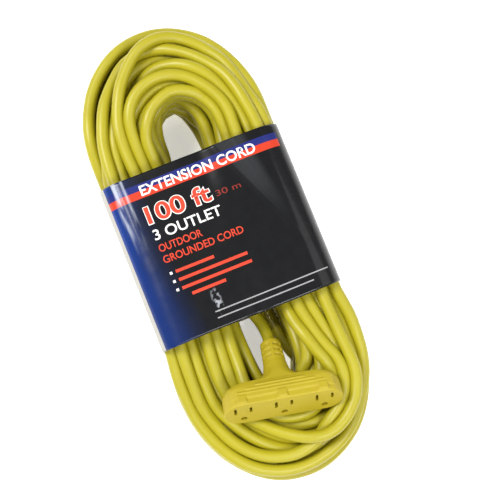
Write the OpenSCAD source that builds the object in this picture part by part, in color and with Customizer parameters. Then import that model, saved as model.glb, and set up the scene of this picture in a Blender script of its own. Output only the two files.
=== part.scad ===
// Outdoor extension cord, folded into a hank and held by a printed card sleeve.
// A moulded three-outlet tap is on one end of the cord and a clear moulded plug on the other.
// Frame: origin on the surface under the middle of the hank, +Y along the hank away from the tap,
// +X to the right, +Z up. Millimetres.

/* [Cord] */
// Outside diameter of the round jacket
cord_d = 10.4; // [9.5:0.1:10.8]
// Outside diameter of one insulated conductor
wire_d = 3.9; // [3.4:0.1:4.1]
// Diameter of one bare stranded copper conductor
copper_d = 2.3; // [2:0.05:2.4]

/* [Hank] */
// Height of the pile of turns
hank_h = 82; // [80:1:84]
// Half of the width along the straight runs and the upper loop
hank_half_w = 80.4; // [79:0.1:80.4]
// Half of the width of the loose lower loop
loop_half_w = 85; // [83:0.5:87]
// Half of the whole length
hank_half_l = 203.7; // [200:0.1:206]
// Width of the gap between the two runs
gap_w = 34; // [34:0.5:36]
// How far the gap lies to the right of the middle
gap_x = 6.5; // [6:0.5:7]

/* [Card sleeve] */
// Length of the sleeve along the cord
sleeve_l = 145; // [120:1:150]
// Distance of the sleeve's middle from the origin, along Y
sleeve_y = 13.5; // [13.5:0.5:20]
// Thickness of the laminated card
card_t = 0.5; // [0.4:0.1:0.6]
// Corner radius of the sleeve's inside
sleeve_r = 19.5; // [18:0.5:19.5]

/* [Tap] */
// Width across the three outlets
tap_w = 98.5; // [97:0.5:101]
// Thickness of the face
tap_t = 28.5; // [28:0.5:29]
// Depth of the side blocks behind the face
tap_d = 21.5; // [21:0.5:22]
// Distance between neighbouring outlets
outlet_pitch = 33.6; // [33:0.1:34]
// Distance between the two blade slots of an outlet
blade_pitch = 12.7; // [12.6:0.1:12.8]
// Distance from the blade line to the ground hole
ground_drop = 11.9; // [11.8:0.1:12]
// How far the neck end dips below the face
tap_pitch = 35; // [33:1:37]
// How far the tap is turned about the vertical
tap_yaw = -12; // [-13:1:-10]

/* [Plug] */
// Width of the moulded plug body
plug_w = 30; // [29:0.5:30]
// Thickness of the moulded plug body
plug_t = 22.5; // [22:0.5:22.5]
// Length of the ribbed strain relief
relief_l = 30; // [28:1:32]
// Length of the plug body
plug_l = 33; // [31:1:34]
// How far the plug is turned about the vertical
plug_yaw = 10; // [8:1:11]

/* [Hidden] */
$fn = 48;

cord_r = cord_d / 2;
wire_r = wire_d / 2;
copper_r = copper_d / 2;
clear = 0.4;         // room left between a sliding piece and what it slides on
fit = 0.1;           // room left round a piece that is moulded in

// Hank: the upper end is a half ellipse about top_y, the lower end one about low_y.
top_y = 108;
low_y = -100;
lift_end_y = -61;            // the runs lie on the card from here up
loop_start_y = -74;          // and on the surface from here down
bed_lift = card_t + clear;   // what the card lifts the runs by
gap_top_r = 26;              // the gap widens to a round end, so that no turn is bent too hard
gap_low_r = 29;
gap_neck_y = 60;             // it has its least width from here to loop_start_y
end_steps = 20;              // stations round each end
ring_steps = 16;             // points round the section
section_power = 3;           // 2 is an ellipse, more is squarer

// Tap, in its own frame: the face is at y = 0 and looks along -y, the neck points along +y.
tap_at = [-4.9, -137.3, hank_h + 8];
skin = 3.2;                  // wall of the overmould in front of the carrier
neck_y = 42;                 // where the shoulders end
neck_l = 21.5;
neck_r0 = 9.8;
neck_r1 = 8.8;
shoulder_r = 21;
back_r = 8.5;                // back corners of the side blocks
blade_line_z = 5;            // height of the blade slots on the face
ground_z = blade_line_z - ground_drop;
cavity_half = [tap_w / 2 - 5, tap_t / 2 - 3.6];
cavity_end_y = 18.6;
carrier_back_y = 14;
strip_y = 14.2;              // front of the contact strips' bus
strip_t = 0.8;
bundle_y = 44;               // where the three conductors lie side by side
jacket_end_y = 50;           // where the cord's jacket ends inside the neck
crimp_end_y = 25.6;
outlets = [-outlet_pitch, 0, outlet_pitch];
line_crimp = [9, 2.6];       // x and z of each crimp barrel
neutral_crimp = [-9, 5.5];
ground_crimp = [0, -5.6];

// Plug, in its own frame: the cord comes in at y = 0 and the blades point along +y.
plug_at = [17.5, -75.5, 22];
plug_face_y = relief_l + plug_l;
blade_l = 17.5;
ground_l = 20.5;
blade_half_w = 3.175;
blade_half_t = 0.76;
pin_r = 2.375;
blade_z = -4.5;              // height of the blade line
pin_z = blade_z + ground_drop;
plug_jacket_y = 30.4;          // where the jacket ends inside the plug
plug_crimp_y = [43, 51];     // span of the crimp barrels
plug_crimp_at = [[-blade_pitch / 2, blade_z], [blade_pitch / 2, blade_z], [0, 5.4]];
end_gap = 0.4;               // from a conductor's cut ends to the crimp and to the jacket
bridge_y = [51.2, 59];       // span of the hard bridge round the blades
relief_ribs = 5;
relief_r0 = 6.5;             // at the cord's end
relief_r1 = 9.6;             // at the plug's body

// Routes of the two free stretches of cord, in the row's own frame: the first from the tap's neck
// over the plug to the right run, the second from the plug under the tap into the loose loop.
tap_route = [[6.8, -79.8, 49.4], [6.6, -72.6, 46.1], [5.3, -65.2, 43.9], [3, -57.6, 42.9], [0, -50, 42.8],
    [-2.6, -42, 43.3], [-4.5, -32.3, 44.7], [-5.2, -20.5, 46.5], [-3.5, -6.7, 48], [2.5, 8.1, 49.1],
    [10.9, 21.6, 49.7], [18.6, 35.6, 50], [25, 50.5, 50]];
plug_route = [[19.3, -86, 22], [21.5, -96, 21.8], [25, -106, 21.4], [30.5, -116, 21], [37, -125, 20.6]];

// ---- helpers ----------------------------------------------------------------------------------

// Points of an arc about c, from angle a0 to angle a1.
function arc(c, r, a0, a1, n = 12) =
    [for (i = [0:n]) let (a = a0 + (a1 - a0) * i / n) [c[0] + r * cos(a), c[1] + r * sin(a)]];

function unit(v) = v / norm(v);

// A point at t on the Catmull-Rom span from b to c.
function span_point(a, b, c, d, t) =
    0.5 * (2 * b + (c - a) * t + (2 * a - 5 * b + 4 * c - d) * t * t
    + (3 * b - a - 3 * c + d) * t * t * t);

// A smooth line through every point of a route, with steps rings to each span.
function smooth_line(p, steps) =
    let (last = len(p) - 1)
    concat([for (i = [0:last - 1], k = [0:steps - 1])
        span_point(p[max(i - 1, 0)], p[i], p[i + 1], p[min(i + 2, last)], k / steps)], [p[last]]);

// A line along y from a to b that leaves and arrives straight.
function easy_line(a, b) =
    [for (i = [0:8]) let (t = i / 8, e = t * t * (3 - 2 * t))
        [a[0] + (b[0] - a[0]) * e, a[1] + (b[1] - a[1]) * t, a[2] + (b[2] - a[2]) * e]];

// A round bar along a line of points: rings joined by triangles and closed at both ends.
module swept_bar(line, r, sides) {
    last = len(line) - 1;
    points = [for (i = [0:last])
        let (t = unit(line[min(i + 1, last)] - line[max(i - 1, 0)]),
            s = unit(cross(t, [0, 0, 1])),
            u = cross(s, t))
        for (k = [0:sides - 1]) line[i] + r * (cos(360 * k / sides) * s + sin(360 * k / sides) * u)];
    walls = [for (i = [0:last - 1], k = [0:sides - 1])
        let (a = i * sides + k, b = i * sides + (k + 1) % sides)
        each [[a, b, b + sides], [a, b + sides, a + sides]]];
    near_end = [for (k = [1:sides - 2]) [0, k + 1, k]];
    far_end = [for (k = [1:sides - 2]) [last * sides, last * sides + k, last * sides + k + 1]];
    polyhedron(points, concat(walls, near_end, far_end));
}

module tube_y(r, y0, y1) {
    translate([0, y0, 0])
        rotate([-90, 0, 0])
            cylinder(r = r, h = y1 - y0);
}

module slab(x, y, z) {
    translate([x[0], y[0], z[0]])
        cube([x[1] - x[0], y[1] - y[0], z[1] - z[0]]);
}

module rounded_rect(w, h, r) {
    square([w - 2 * r, h], center = true);
    square([w, h - 2 * r], center = true);
    for (x = [-1, 1], y = [-1, 1])
        translate([x * (w / 2 - r), y * (h / 2 - r)])
            circle(r);
}

// Extrudes a front view, drawn as x and z, along +y.
module along_y(y0, y1) {
    translate([0, y1, 0])
        rotate([90, 0, 0])
            linear_extrude(y1 - y0)
                children();
}

function turned_x(p, a) = [p[0], p[1] * cos(a) - p[2] * sin(a), p[1] * sin(a) + p[2] * cos(a)];

function turned_z(p, a) = [p[0] * cos(a) - p[1] * sin(a), p[0] * sin(a) + p[1] * cos(a), p[2]];

// Where a point of the tap or of the plug lies in the row's frame.
function tap_point(p) = tap_at + turned_z(turned_x(p, -tap_pitch), tap_yaw);

function plug_point(p) = plug_at + turned_z([p[2], p[1], -p[0]], plug_yaw);

module tap_frame() {
    translate(tap_at)
        rotate([-tap_pitch, 0, tap_yaw])
            children();
}

// The plug lies on its side, so its width stands upright.
module plug_frame() {
    translate(plug_at)
        rotate([0, 0, plug_yaw])
            rotate([0, 90, 0])
                children();
}

// ---- cord -------------------------------------------------------------------------------------

// One station round the hank: its outer point, its inner point and the height of its underside.
function end_station(a, y, half_w, reach, gap_r, lift) =
    [[half_w * cos(a), y + reach * sin(a)], [gap_x + gap_r * cos(a), y + gap_r * sin(a)], lift];

function side_station(side, y, half_w, lift) = [[side * half_w, y], [gap_x + side * gap_w / 2, y], lift];

stations = concat(
    [for (i = [0:end_steps])
        end_station(180 * i / end_steps, top_y, hank_half_w, hank_half_l - top_y, gap_top_r, bed_lift)],
    [side_station(-1, gap_neck_y, hank_half_w, bed_lift),
    side_station(-1, lift_end_y, hank_half_w, bed_lift), side_station(-1, loop_start_y, hank_half_w + 2, 0)],
    [for (i = [0:end_steps])
        end_station(180 + 180 * i / end_steps, low_y, loop_half_w, hank_half_l + low_y, gap_low_r, 0)],
    [side_station(1, loop_start_y, hank_half_w + 2, 0), side_station(1, lift_end_y, hank_half_w, bed_lift),
    side_station(1, gap_neck_y, hank_half_w, bed_lift)]);

function signed_power(v) = sign(v) * pow(abs(v), 2 / section_power);

// The closed ring of all the turns: a squarish oval section carried round the stations.
module hank_ring() {
    n = len(stations);
    m = ring_steps;
    flat = max([for (k = [0:m - 1]) signed_power(sin(360 * (k + 0.5) / m))]);
    points = [for (s = stations, k = [0:m - 1])
        let (a = 360 * (k + 0.5) / m,
            wide = signed_power(cos(a)) / flat,
            high = signed_power(sin(a)) / flat,
            xy = s[1] + (s[0] - s[1]) * (0.5 + wide / 2),
            half_h = (hank_h - s[2]) / 2)
        [xy[0], xy[1], s[2] + half_h * (1 + high)]];
    polyhedron(points, [for (i = [0:n - 1], k = [0:m - 1])
        let (a = i * m + k, b = i * m + (k + 1) % m, c = ((i + 1) % n) * m + (k + 1) % m,
            d = ((i + 1) % n) * m + k)
        each [[a, b, c], [a, c, d]]]);
}

// The hollow that the tap beds into, a little larger than the tap.
module tap_bed() {
    tap_frame() {
        slab([-tap_w / 2 - 1, tap_w / 2 + 1], [-30, tap_d + 3], [-tap_t / 2 - 0.8, 60]);
        slab([-33, 33], [tap_d, 34], [-tap_t / 2 - 0.5, 60]);
        slab([-20, 20], [33, 47], [-13, 60]);
    }
}

module cord_hank() {
    color("gold")
        difference() {
            hank_ring();
            tap_bed();
        }
}

module cord_tap_lead() {
    line = concat([tap_point([0, jacket_end_y, 0])],
        smooth_line(concat([tap_point([0, neck_y + neck_l, 0])], tap_route), 2));
    color("gold")
        swept_bar(line, cord_r - 0.05, 12);
}

module cord_plug_lead() {
    line = concat([plug_point([0, plug_jacket_y, 0])],
        smooth_line(concat([plug_point([0, 0, 0])], plug_route), 2));
    color("gold")
        swept_bar(line, cord_r - 0.05, 12);
}

// ---- card sleeve ------------------------------------------------------------------------------

module card_sleeve() {
    inner_w = 2 * (hank_half_w + clear);
    inner_h = hank_h + clear - card_t;
    color("midnightblue")
        translate([0, 0, card_t + inner_h / 2])
            along_y(sleeve_y - sleeve_l / 2, sleeve_y + sleeve_l / 2)
                difference() {
                    rounded_rect(inner_w + 2 * card_t, inner_h + 2 * card_t, sleeve_r + card_t);
                    rounded_rect(inner_w, inner_h, sleeve_r);
                }
}

// ---- tap --------------------------------------------------------------------------------------

// The tap from above: side blocks with rounded back corners, and hollow shoulders up to the neck.
module tap_plan() {
    w = tap_w / 2;
    shoulder_x = neck_r0 + shoulder_r;
    right = concat([[w, 0]], arc([w - back_r, tap_d - back_r], back_r, 0, 90),
        [[shoulder_x + 4, neck_y - shoulder_r]], arc([shoulder_x, neck_y], shoulder_r, 270, 180),
        [[neck_r0, neck_y + 1]]);
    left = [for (i = [len(right) - 1:-1:0]) [-right[i][0], right[i][1]]];
    polygon(concat(right, left));
}

// The tap from its side: full thickness at the face, thinner towards the neck.
module tap_side() {
    t = tap_t / 2;
    b = tap_d - 2;
    polygon([[0, -t], [b, -t], [neck_y + 1, -neck_r0], [neck_y + 1, neck_r0], [b, t], [0, t]]);
}

// One outlet's openings on the face, cut from y0 to y1.
module outlet_cut(y0, y1, grow = 0) {
    slab([-blade_pitch / 2 - 1.1 - grow, -blade_pitch / 2 + 1.1 + grow], [y0, y1],
        [blade_line_z - 4.4 - grow, blade_line_z + 4.4 + grow]);
    slab([blade_pitch / 2 - 1.1 - grow, blade_pitch / 2 + 1.1 + grow], [y0, y1],
        [blade_line_z - 3.5 - grow, blade_line_z + 3.5 + grow]);
    translate([0, 0, ground_z])
        along_y(y0, y1)
            union() {
                circle(2.7 + grow);
                translate([-2.7 - grow, -2.2])
                    square([5.4 + 2 * grow, 2.2]);
            }
}

// A raised tongue over an outlet, and the three stepped ridges between the outlets.
module tap_relief() {
    for (x = outlets)
        translate([x, 0, 0])
            intersection() {
                slab([-4.5, 4.5], [0, 7], [tap_t / 2 - 4, tap_t / 2 + 0.5]);
                translate([0, 2.5, 0])
                    cylinder(r = 4.5, h = tap_t);
            }
    for (i = [0:2])
        slab([-38 + 8 * i, 38 - 8 * i], [5.5 + 3.5 * i, 6.6 + 3.5 * i],
            [tap_t / 2 - 3, tap_t / 2 + 0.35 - 0.15 * i]);
}

module neck_notches() {
    for (i = [0:2], side = [-1, 1], up = [-1, 1])
        translate([0, neck_y + 4 + 5.6 * i, 0])
            slab(side > 0 ? [1.4, 14] : [-14, -1.4], [0, 2.3], up > 0 ? [7.3, 14] : [-14, -7.3]);
}

module tap_chamber() {
    translate([0, 0, -8])
        linear_extrude(16)
            polygon([[-20, cavity_end_y - 1], [20, cavity_end_y - 1], [15, 26], [10.5, 32], [8, 38],
                [7, bundle_y], [-7, bundle_y], [-8, 38], [-10.5, 32], [-15, 26]]);
    tube_y(7.4, 36, bundle_y + 1);
    tube_y(6.4, bundle_y, jacket_end_y);
}

module tap_body() {
    color("goldenrod")
        tap_frame()
            difference() {
                union() {
                    intersection() {
                        translate([0, 0, -tap_t])
                            linear_extrude(2 * tap_t)
                                tap_plan();
                        rotate([90, 0, 90])
                            translate([0, 0, -tap_w])
                                linear_extrude(2 * tap_w)
                                    tap_side();
                        along_y(-1, neck_y + 2)
                            rounded_rect(tap_w, tap_t, tap_t / 2 - 0.01);
                    }
                    tap_relief();
                    translate([0, neck_y, 0])
                        rotate([-90, 0, 0])
                            cylinder(r1 = neck_r0, r2 = neck_r1, h = neck_l);
                }
                along_y(skin, cavity_end_y)
                    rounded_rect(2 * cavity_half[0], 2 * cavity_half[1], 8);
                tap_chamber();
                tube_y(cord_r + 0.05, jacket_end_y - 1, neck_y + neck_l + 1);
                neck_notches();
                for (x = outlets)
                    translate([x, 0, 0])
                        outlet_cut(-1, skin + 1);
            }
}

// Hard block behind the face, with a pocket for each contact.
module tap_contact_carrier() {
    color("dimgray")
        tap_frame()
            difference() {
                along_y(skin + fit, carrier_back_y)
                    rounded_rect(2 * (cavity_half[0] - fit), 2 * (cavity_half[1] - fit), 8);
                for (x = outlets)
                    translate([x, 0, 0]) {
                        outlet_cut(skin, skin + 3);
                        outlet_cut(skin + 2.5, carrier_back_y + 1, 1);
                    }
            }
}

// Plate that closes the carrier and lets the three crimp tails through.
module tap_carrier_cover() {
    color("gray")
        tap_frame()
            difference() {
                along_y(strip_y + strip_t + fit, cavity_end_y - fit)
                    rounded_rect(2 * (cavity_half[0] - fit), 2 * (cavity_half[1] - fit), 8);
                for (c = [line_crimp, neutral_crimp, ground_crimp])
                    slab([c[0] - 2, c[0] + 2], [strip_y, cavity_end_y + 1], [c[1] - 0.8, c[1] + 0.8]);
            }
}

// A bus along the carrier's back, with a tail through the cover and a crimp barrel on it.
module strip_bus(z, crimp, half) {
    slab([-half, half], [strip_y, strip_y + strip_t], [z[0], z[1]]);
    slab([crimp[0] - 1.5, crimp[0] + 1.5], [strip_y, cavity_end_y + 1.5], [crimp[1] - 0.4, crimp[1] + 0.4]);
    translate([crimp[0], 0, crimp[1]])
        difference() {
            tube_y(2.2, cavity_end_y + 0.4, crimp_end_y);
            tube_y(copper_r + 0.02, cavity_end_y + 1.6, crimp_end_y + 1);
        }
}

// A pair of spring leaves that a blade pushes between, joined to the bus by a foot.
module blade_contact(foot) {
    for (side = [-1, 1])
        slab([side * 1.15 - 0.3, side * 1.15 + 0.3], [skin + 3.5, carrier_back_y - 0.4],
            [blade_line_z - 3, blade_line_z + 3]);
    slab([-1.45, 1.45], [carrier_back_y - 1, carrier_back_y - 0.4], [blade_line_z - 3, blade_line_z + 3]);
    slab([-1.45, 1.45], [carrier_back_y - 0.8, strip_y + 0.2], foot);
}

module tap_line_contacts() {
    color("darkgoldenrod")
        tap_frame() {
            strip_bus([0.6, 4], line_crimp, outlet_pitch + 8.4);
            for (x = outlets)
                translate([x + blade_pitch / 2, 0, 0])
                    blade_contact([2, 4]);
        }
}

module tap_neutral_contacts() {
    color("silver")
        tap_frame() {
            strip_bus([4.6, 7.8], neutral_crimp, outlet_pitch + 8.4);
            for (x = outlets)
                translate([x - blade_pitch / 2, 0, 0])
                    blade_contact([5, 7.6]);
        }
}

module tap_ground_contacts() {
    color("darkgoldenrod")
        tap_frame() {
            strip_bus([-9.6, -4], ground_crimp, outlet_pitch + 4);
            for (x = outlets)
                translate([x, 0, ground_z]) {
                    for (side = [-1, 1])
                        slab([side * 2.6 - 0.3, side * 2.6 + 0.3], [skin + 3.5, strip_y + 0.2], [-1.6, 1.8]);
                }
        }
}

// An insulated conductor of the tap, from its crimp to the cut end of the jacket.
module tap_wire(crimp, at_jacket) {
    start = [crimp[0], crimp_end_y + end_gap, crimp[1]];
    bundled = [at_jacket[0], bundle_y, at_jacket[1]];
    stop = [at_jacket[0], jacket_end_y - end_gap, at_jacket[1]];
    tap_frame()
        swept_bar(concat(easy_line(start, bundled), [stop]), wire_r - 0.02, 10);
}

module tap_line_wire() {
    color("black")
        tap_wire(line_crimp, [2.35, 1.4]);
}

module tap_neutral_wire() {
    color("white")
        tap_wire(neutral_crimp, [-2.35, 1.4]);
}

module tap_ground_wire() {
    color("green")
        tap_wire(ground_crimp, [0, -2.7]);
}

module tap_copper_ends() {
    color("peru")
        tap_frame()
            for (c = [line_crimp, neutral_crimp, ground_crimp])
                translate([c[0], 0, c[1]])
                    tube_y(copper_r, cavity_end_y + 1.7, crimp_end_y);
}

// ---- plug -------------------------------------------------------------------------------------

// Half outline of the ribbed strain relief, as radius and height: five ribs on a cone.
function relief_r(y) = relief_r0 + (relief_r1 - relief_r0) * y / relief_l;

module relief_outline() {
    pitch = (relief_l - 8) / relief_ribs;
    polygon(concat([[0, 0], [relief_r(0), 0], [relief_r(3), 3]],
        [for (i = [0:relief_ribs - 1])
            let (y = 4 + pitch * i, r = relief_r(y))
            each [[r, y], [r - 1.1, y + 0.7], [r - 1.1, y + 2], [r + 0.4, y + 2.8]]],
        [[relief_r1, relief_l], [relief_r1, relief_l + 2], [0, relief_l + 2]]));
}

module plug_outer() {
    rotate([-90, 0, 0])
        rotate_extrude()
            relief_outline();
    intersection() {
        translate([0, 0, -plug_w])
            linear_extrude(2 * plug_w)
                polygon([[-10, relief_l - 1], [10, relief_l - 1], [plug_w / 2, relief_l + 8],
                    [plug_w / 2, plug_face_y], [-plug_w / 2, plug_face_y], [-plug_w / 2, relief_l + 8]]);
        rotate([90, 0, 90])
            translate([0, 0, -plug_w])
                linear_extrude(2 * plug_w)
                    polygon([[relief_l - 1, -9.6], [relief_l + 8, -plug_t / 2], [plug_face_y, -plug_t / 2],
                        [plug_face_y, plug_t / 2], [relief_l + 8, plug_t / 2], [relief_l - 1, 9.6]]);
        along_y(relief_l - 2, plug_face_y)
            rounded_rect(plug_w, plug_t, 6);
    }
}

module plug_body() {
    color("khaki")
        plug_frame()
            difference() {
                plug_outer();
                tube_y(cord_r + 0.05, -1, plug_jacket_y + 0.5);
                tube_y(7.6, plug_jacket_y, 38);
                along_y(37, bridge_y[1] + fit)
                    rounded_rect(22, 16.4, 4);
                for (x = [-1, 1])
                    slab([x * blade_pitch / 2 - 0.78, x * blade_pitch / 2 + 0.78], [50, plug_face_y + 1],
                        [blade_z - 3.2, blade_z + 3.2]);
                translate([0, 0, pin_z])
                    tube_y(pin_r + 0.02, 50, plug_face_y + 1);
            }
}

// Hard bridge that holds the blades and the pin apart.
module plug_blade_bridge() {
    color("dimgray")
        plug_frame()
            difference() {
                along_y(bridge_y[0], bridge_y[1])
                    rounded_rect(21.8, 16.2, 4);
                for (x = [-1, 1])
                    slab([x * blade_pitch / 2 - 0.78, x * blade_pitch / 2 + 0.78], [50, plug_face_y],
                        [blade_z - 3.2, blade_z + 3.2]);
                translate([0, 0, pin_z])
                    tube_y(pin_r + 0.02, 50, plug_face_y);
            }
}

// A flat blade with a chamfered tip and the usual hole near it.
module blade() {
    tip = plug_face_y + blade_l;
    rotate([90, 0, 90])
        translate([0, 0, -blade_half_t])
            linear_extrude(2 * blade_half_t)
                difference() {
                    polygon([[bridge_y[0], -blade_half_w], [tip - 2, -blade_half_w], [tip, -1.6], [tip, 1.6],
                        [tip - 2, blade_half_w], [bridge_y[0], blade_half_w]]);
                    translate([tip - 4.2, 0])
                        circle(1.6);
                }
}

module plug_line_blade() {
    color("silver")
        plug_frame()
            translate([-blade_pitch / 2, 0, blade_z])
                blade();
}

module plug_neutral_blade() {
    color("silver")
        plug_frame()
            translate([blade_pitch / 2, 0, blade_z])
                blade();
}

module plug_ground_pin() {
    color("silver")
        plug_frame()
            translate([0, 0, pin_z]) {
                tube_y(pin_r, bridge_y[0], plug_face_y + ground_l - pin_r);
                translate([0, plug_face_y + ground_l - pin_r, 0])
                    sphere(pin_r);
            }
}

module plug_crimps() {
    color("darkgoldenrod")
        plug_frame()
            for (c = plug_crimp_at)
                translate([c[0], 0, c[1]])
                    difference() {
                        tube_y(2.2, plug_crimp_y[0], plug_crimp_y[1]);
                        tube_y(copper_r + 0.02, plug_crimp_y[0] - 1, plug_crimp_y[1] - 1.5);
                    }
}

module plug_wire(crimp, at_jacket) {
    start = [crimp[0], plug_crimp_y[0] - end_gap, crimp[1]];
    stop = [at_jacket[0], plug_jacket_y + end_gap, at_jacket[1]];
    plug_frame()
        swept_bar(easy_line(stop, start), wire_r - 0.02, 10);
}

module plug_line_wire() {
    color("black")
        plug_wire(plug_crimp_at[0], [-2.35, -1.4]);
}

module plug_neutral_wire() {
    color("white")
        plug_wire(plug_crimp_at[1], [2.35, -1.4]);
}

module plug_ground_wire() {
    color("green")
        plug_wire(plug_crimp_at[2], [0, 2.7]);
}

module plug_copper_ends() {
    color("peru")
        plug_frame()
            for (c = plug_crimp_at)
                translate([c[0], 0, c[1]])
                    tube_y(copper_r, plug_crimp_y[0], plug_crimp_y[1] - 1.6);
}

cord_hank();
cord_tap_lead();
cord_plug_lead();
card_sleeve();
tap_body();
tap_contact_carrier();
tap_carrier_cover();
tap_line_contacts();
tap_neutral_contacts();
tap_ground_contacts();
tap_line_wire();
tap_neutral_wire();
tap_ground_wire();
tap_copper_ends();
plug_body();
plug_blade_bridge();
plug_line_blade();
plug_neutral_blade();
plug_ground_pin();
plug_crimps();
plug_line_wire();
plug_neutral_wire();
plug_ground_wire();
plug_copper_ends();
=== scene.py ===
"""A folded outdoor extension cord under its printed card sleeve, with a triple tap and a clear plug.

The winding, the moulded shapes and the print are all computed here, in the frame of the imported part.
Lengths are in millimetres until a mesh is made, and in metres from then on.
"""

import logging
import math
from dataclasses import dataclass
from enum import Enum
from typing import Sequence

import bmesh
import bpy
import numpy as np
from mathutils import Matrix, Vector


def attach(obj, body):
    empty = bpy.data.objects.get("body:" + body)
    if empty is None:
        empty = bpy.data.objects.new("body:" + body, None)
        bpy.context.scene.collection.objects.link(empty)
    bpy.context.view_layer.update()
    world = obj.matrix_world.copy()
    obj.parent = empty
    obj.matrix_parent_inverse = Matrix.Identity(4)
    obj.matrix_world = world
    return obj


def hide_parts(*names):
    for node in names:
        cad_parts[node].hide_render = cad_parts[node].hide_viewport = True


logging.basicConfig(level=logging.INFO, format="%(message)s")
log = logging.getLogger("cord")
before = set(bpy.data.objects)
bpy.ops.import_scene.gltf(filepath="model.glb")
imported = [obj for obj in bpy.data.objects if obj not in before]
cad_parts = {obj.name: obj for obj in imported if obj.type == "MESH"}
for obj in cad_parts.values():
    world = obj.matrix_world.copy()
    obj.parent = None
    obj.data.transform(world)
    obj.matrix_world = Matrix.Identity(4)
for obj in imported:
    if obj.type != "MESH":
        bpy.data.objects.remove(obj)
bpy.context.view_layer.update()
MM = 0.001
ROUNDS = 700


class Axis(Enum):
    """An axis to turn about."""

    X = "X"
    Y = "Y"
    Z = "Z"


class Place(Enum):
    """The CAD body that a piece moves with."""

    CORD = "cord"
    SLEEVE = "sleeve"


# ---- small helpers --------------------------------------------------------------------------------


def linear(hex_colour: str) -> tuple[float, float, float, float]:
    """Turns an sRGB hex colour into the linear colour that a shader takes.

    Args:
        hex_colour: six hex digits, as in a paint list.
    Returns:
        Red, green, blue and alpha, linear.
    """
    parts = [int(hex_colour[i : i + 2], 16) / 255 for i in (0, 2, 4)]
    return tuple(c / 12.92 if c <= 0.04045 else ((c + 0.055) / 1.055) ** 2.4 for c in parts) + (1.0,)


def turn(axis: Axis, degrees: float) -> np.ndarray:
    """Gives the matrix that turns a point about an axis.

    Args:
        axis: what to turn about.
        degrees: how far, anticlockwise.
    Returns:
        A 3 by 3 matrix.
    """
    return np.array(Matrix.Rotation(math.radians(degrees), 3, axis.value))


def smooth(t: np.ndarray | float) -> np.ndarray:
    """Eases from 0 to 1.

    Args:
        t: how far along, held between 0 and 1.
    Returns:
        3 t squared less 2 t cubed.
    """
    t = np.clip(t, 0, 1)
    return t * t * (3 - 2 * t)


def spline(points: np.ndarray, t: np.ndarray) -> np.ndarray:
    """Reads a Catmull-Rom curve that passes through its points at whole numbers.

    Args:
        points: the values that the curve passes through.
        t: where to read it.
    Returns:
        One value for each t.
    """
    n = len(points)
    i = np.clip(np.floor(t).astype(int), 0, n - 2)
    f = (t - i)[:, None] if points.ndim > 1 else t - i
    a, b, c, d = (points[np.clip(i + k, 0, n - 1)] for k in (-1, 0, 1, 2))
    return 0.5 * (2 * b + (c - a) * f + (2 * a - 5 * b + 4 * c - d) * f**2 + (3 * b - a - 3 * c + d) * f**3)


def along(points: np.ndarray) -> np.ndarray:
    """Measures along a line.

    Args:
        points: the line's points.
    Returns:
        The distance to each of them from the first.
    """
    return np.r_[0, np.cumsum(np.linalg.norm(np.diff(points, axis=0), axis=1))]


def resample(points: np.ndarray, count: int) -> np.ndarray:
    """Puts evenly spaced points on a line.

    Args:
        points: the line's points.
        count: how many new ones.
    Returns:
        The new points.
    """
    s = along(points)
    u = np.linspace(0, s[-1], count)
    return np.stack([np.interp(u, s, points[:, k]) for k in range(3)], 1)


def curve_through(points: Sequence, steps: int = 6) -> np.ndarray:
    """Draws a smooth line through points.

    Args:
        points: what it passes through.
        steps: how many pieces between two of them.
    Returns:
        The line's points.
    """
    p = np.asarray(points, float)
    return spline(p, np.linspace(0, len(p) - 1, (len(p) - 1) * steps + 1))


def add_object(name: str, data: bpy.types.ID) -> bpy.types.Object:
    """Puts an object in the scene.

    Args:
        name: its name.
        data: its mesh, curve, light or camera.
    Returns:
        The object.
    """
    obj = bpy.data.objects.new(name, data)
    bpy.context.scene.collection.objects.link(obj)
    return obj


def mesh_object(name: str, points: np.ndarray, faces: np.ndarray, place: Place, smooth_faces: bool = True,
                uv: np.ndarray | None = None) -> bpy.types.Object:
    """Makes a mesh from whole arrays and lets it ride on its body.

    Args:
        name: the piece's name.
        points: its corners, in millimetres.
        faces: rows of three or four corner numbers.
        place: the body that it moves with.
        smooth_faces: whether it is shaded smooth.
        uv: one pair for each point, if the piece has a UV map.
    Returns:
        The new object, at the origin.
    """
    mesh = bpy.data.meshes.new(name)
    n, m = faces.shape
    mesh.vertices.add(len(points))
    mesh.vertices.foreach_set("co", (points * MM).astype(np.float32).ravel())
    mesh.loops.add(n * m)
    mesh.loops.foreach_set("vertex_index", faces.astype(np.int32).ravel())
    mesh.polygons.add(n)
    mesh.polygons.foreach_set("loop_start", np.arange(0, n * m, m, dtype=np.int32))
    mesh.polygons.foreach_set("use_smooth", np.full(n, smooth_faces))
    if uv is not None:
        layer = mesh.uv_layers.new(name="UVMap")
        layer.data.foreach_set("uv", uv[faces.ravel()].astype(np.float32).ravel())
    mesh.update(calc_edges=True)
    mesh.validate()
    obj = add_object(name, mesh)
    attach(obj, place.value)
    log.info("%s: %d points, %d faces", name, len(points), n)
    return obj


def grid_faces(rows: int, cols: int, wrap: bool = True) -> np.ndarray:
    """Numbers the four-cornered faces of a grid of points.

    Args:
        rows: how many rows it has.
        cols: how many points a row has.
        wrap: whether each row closes on itself.
    Returns:
        The faces.
    """
    i = np.arange(rows - 1)[:, None] * cols
    j = np.arange(cols if wrap else cols - 1)[None]
    k = (j + 1) % cols
    return np.stack([i + j, i + k, i + cols + k, i + cols + j], -1).reshape(-1, 4)


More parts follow.
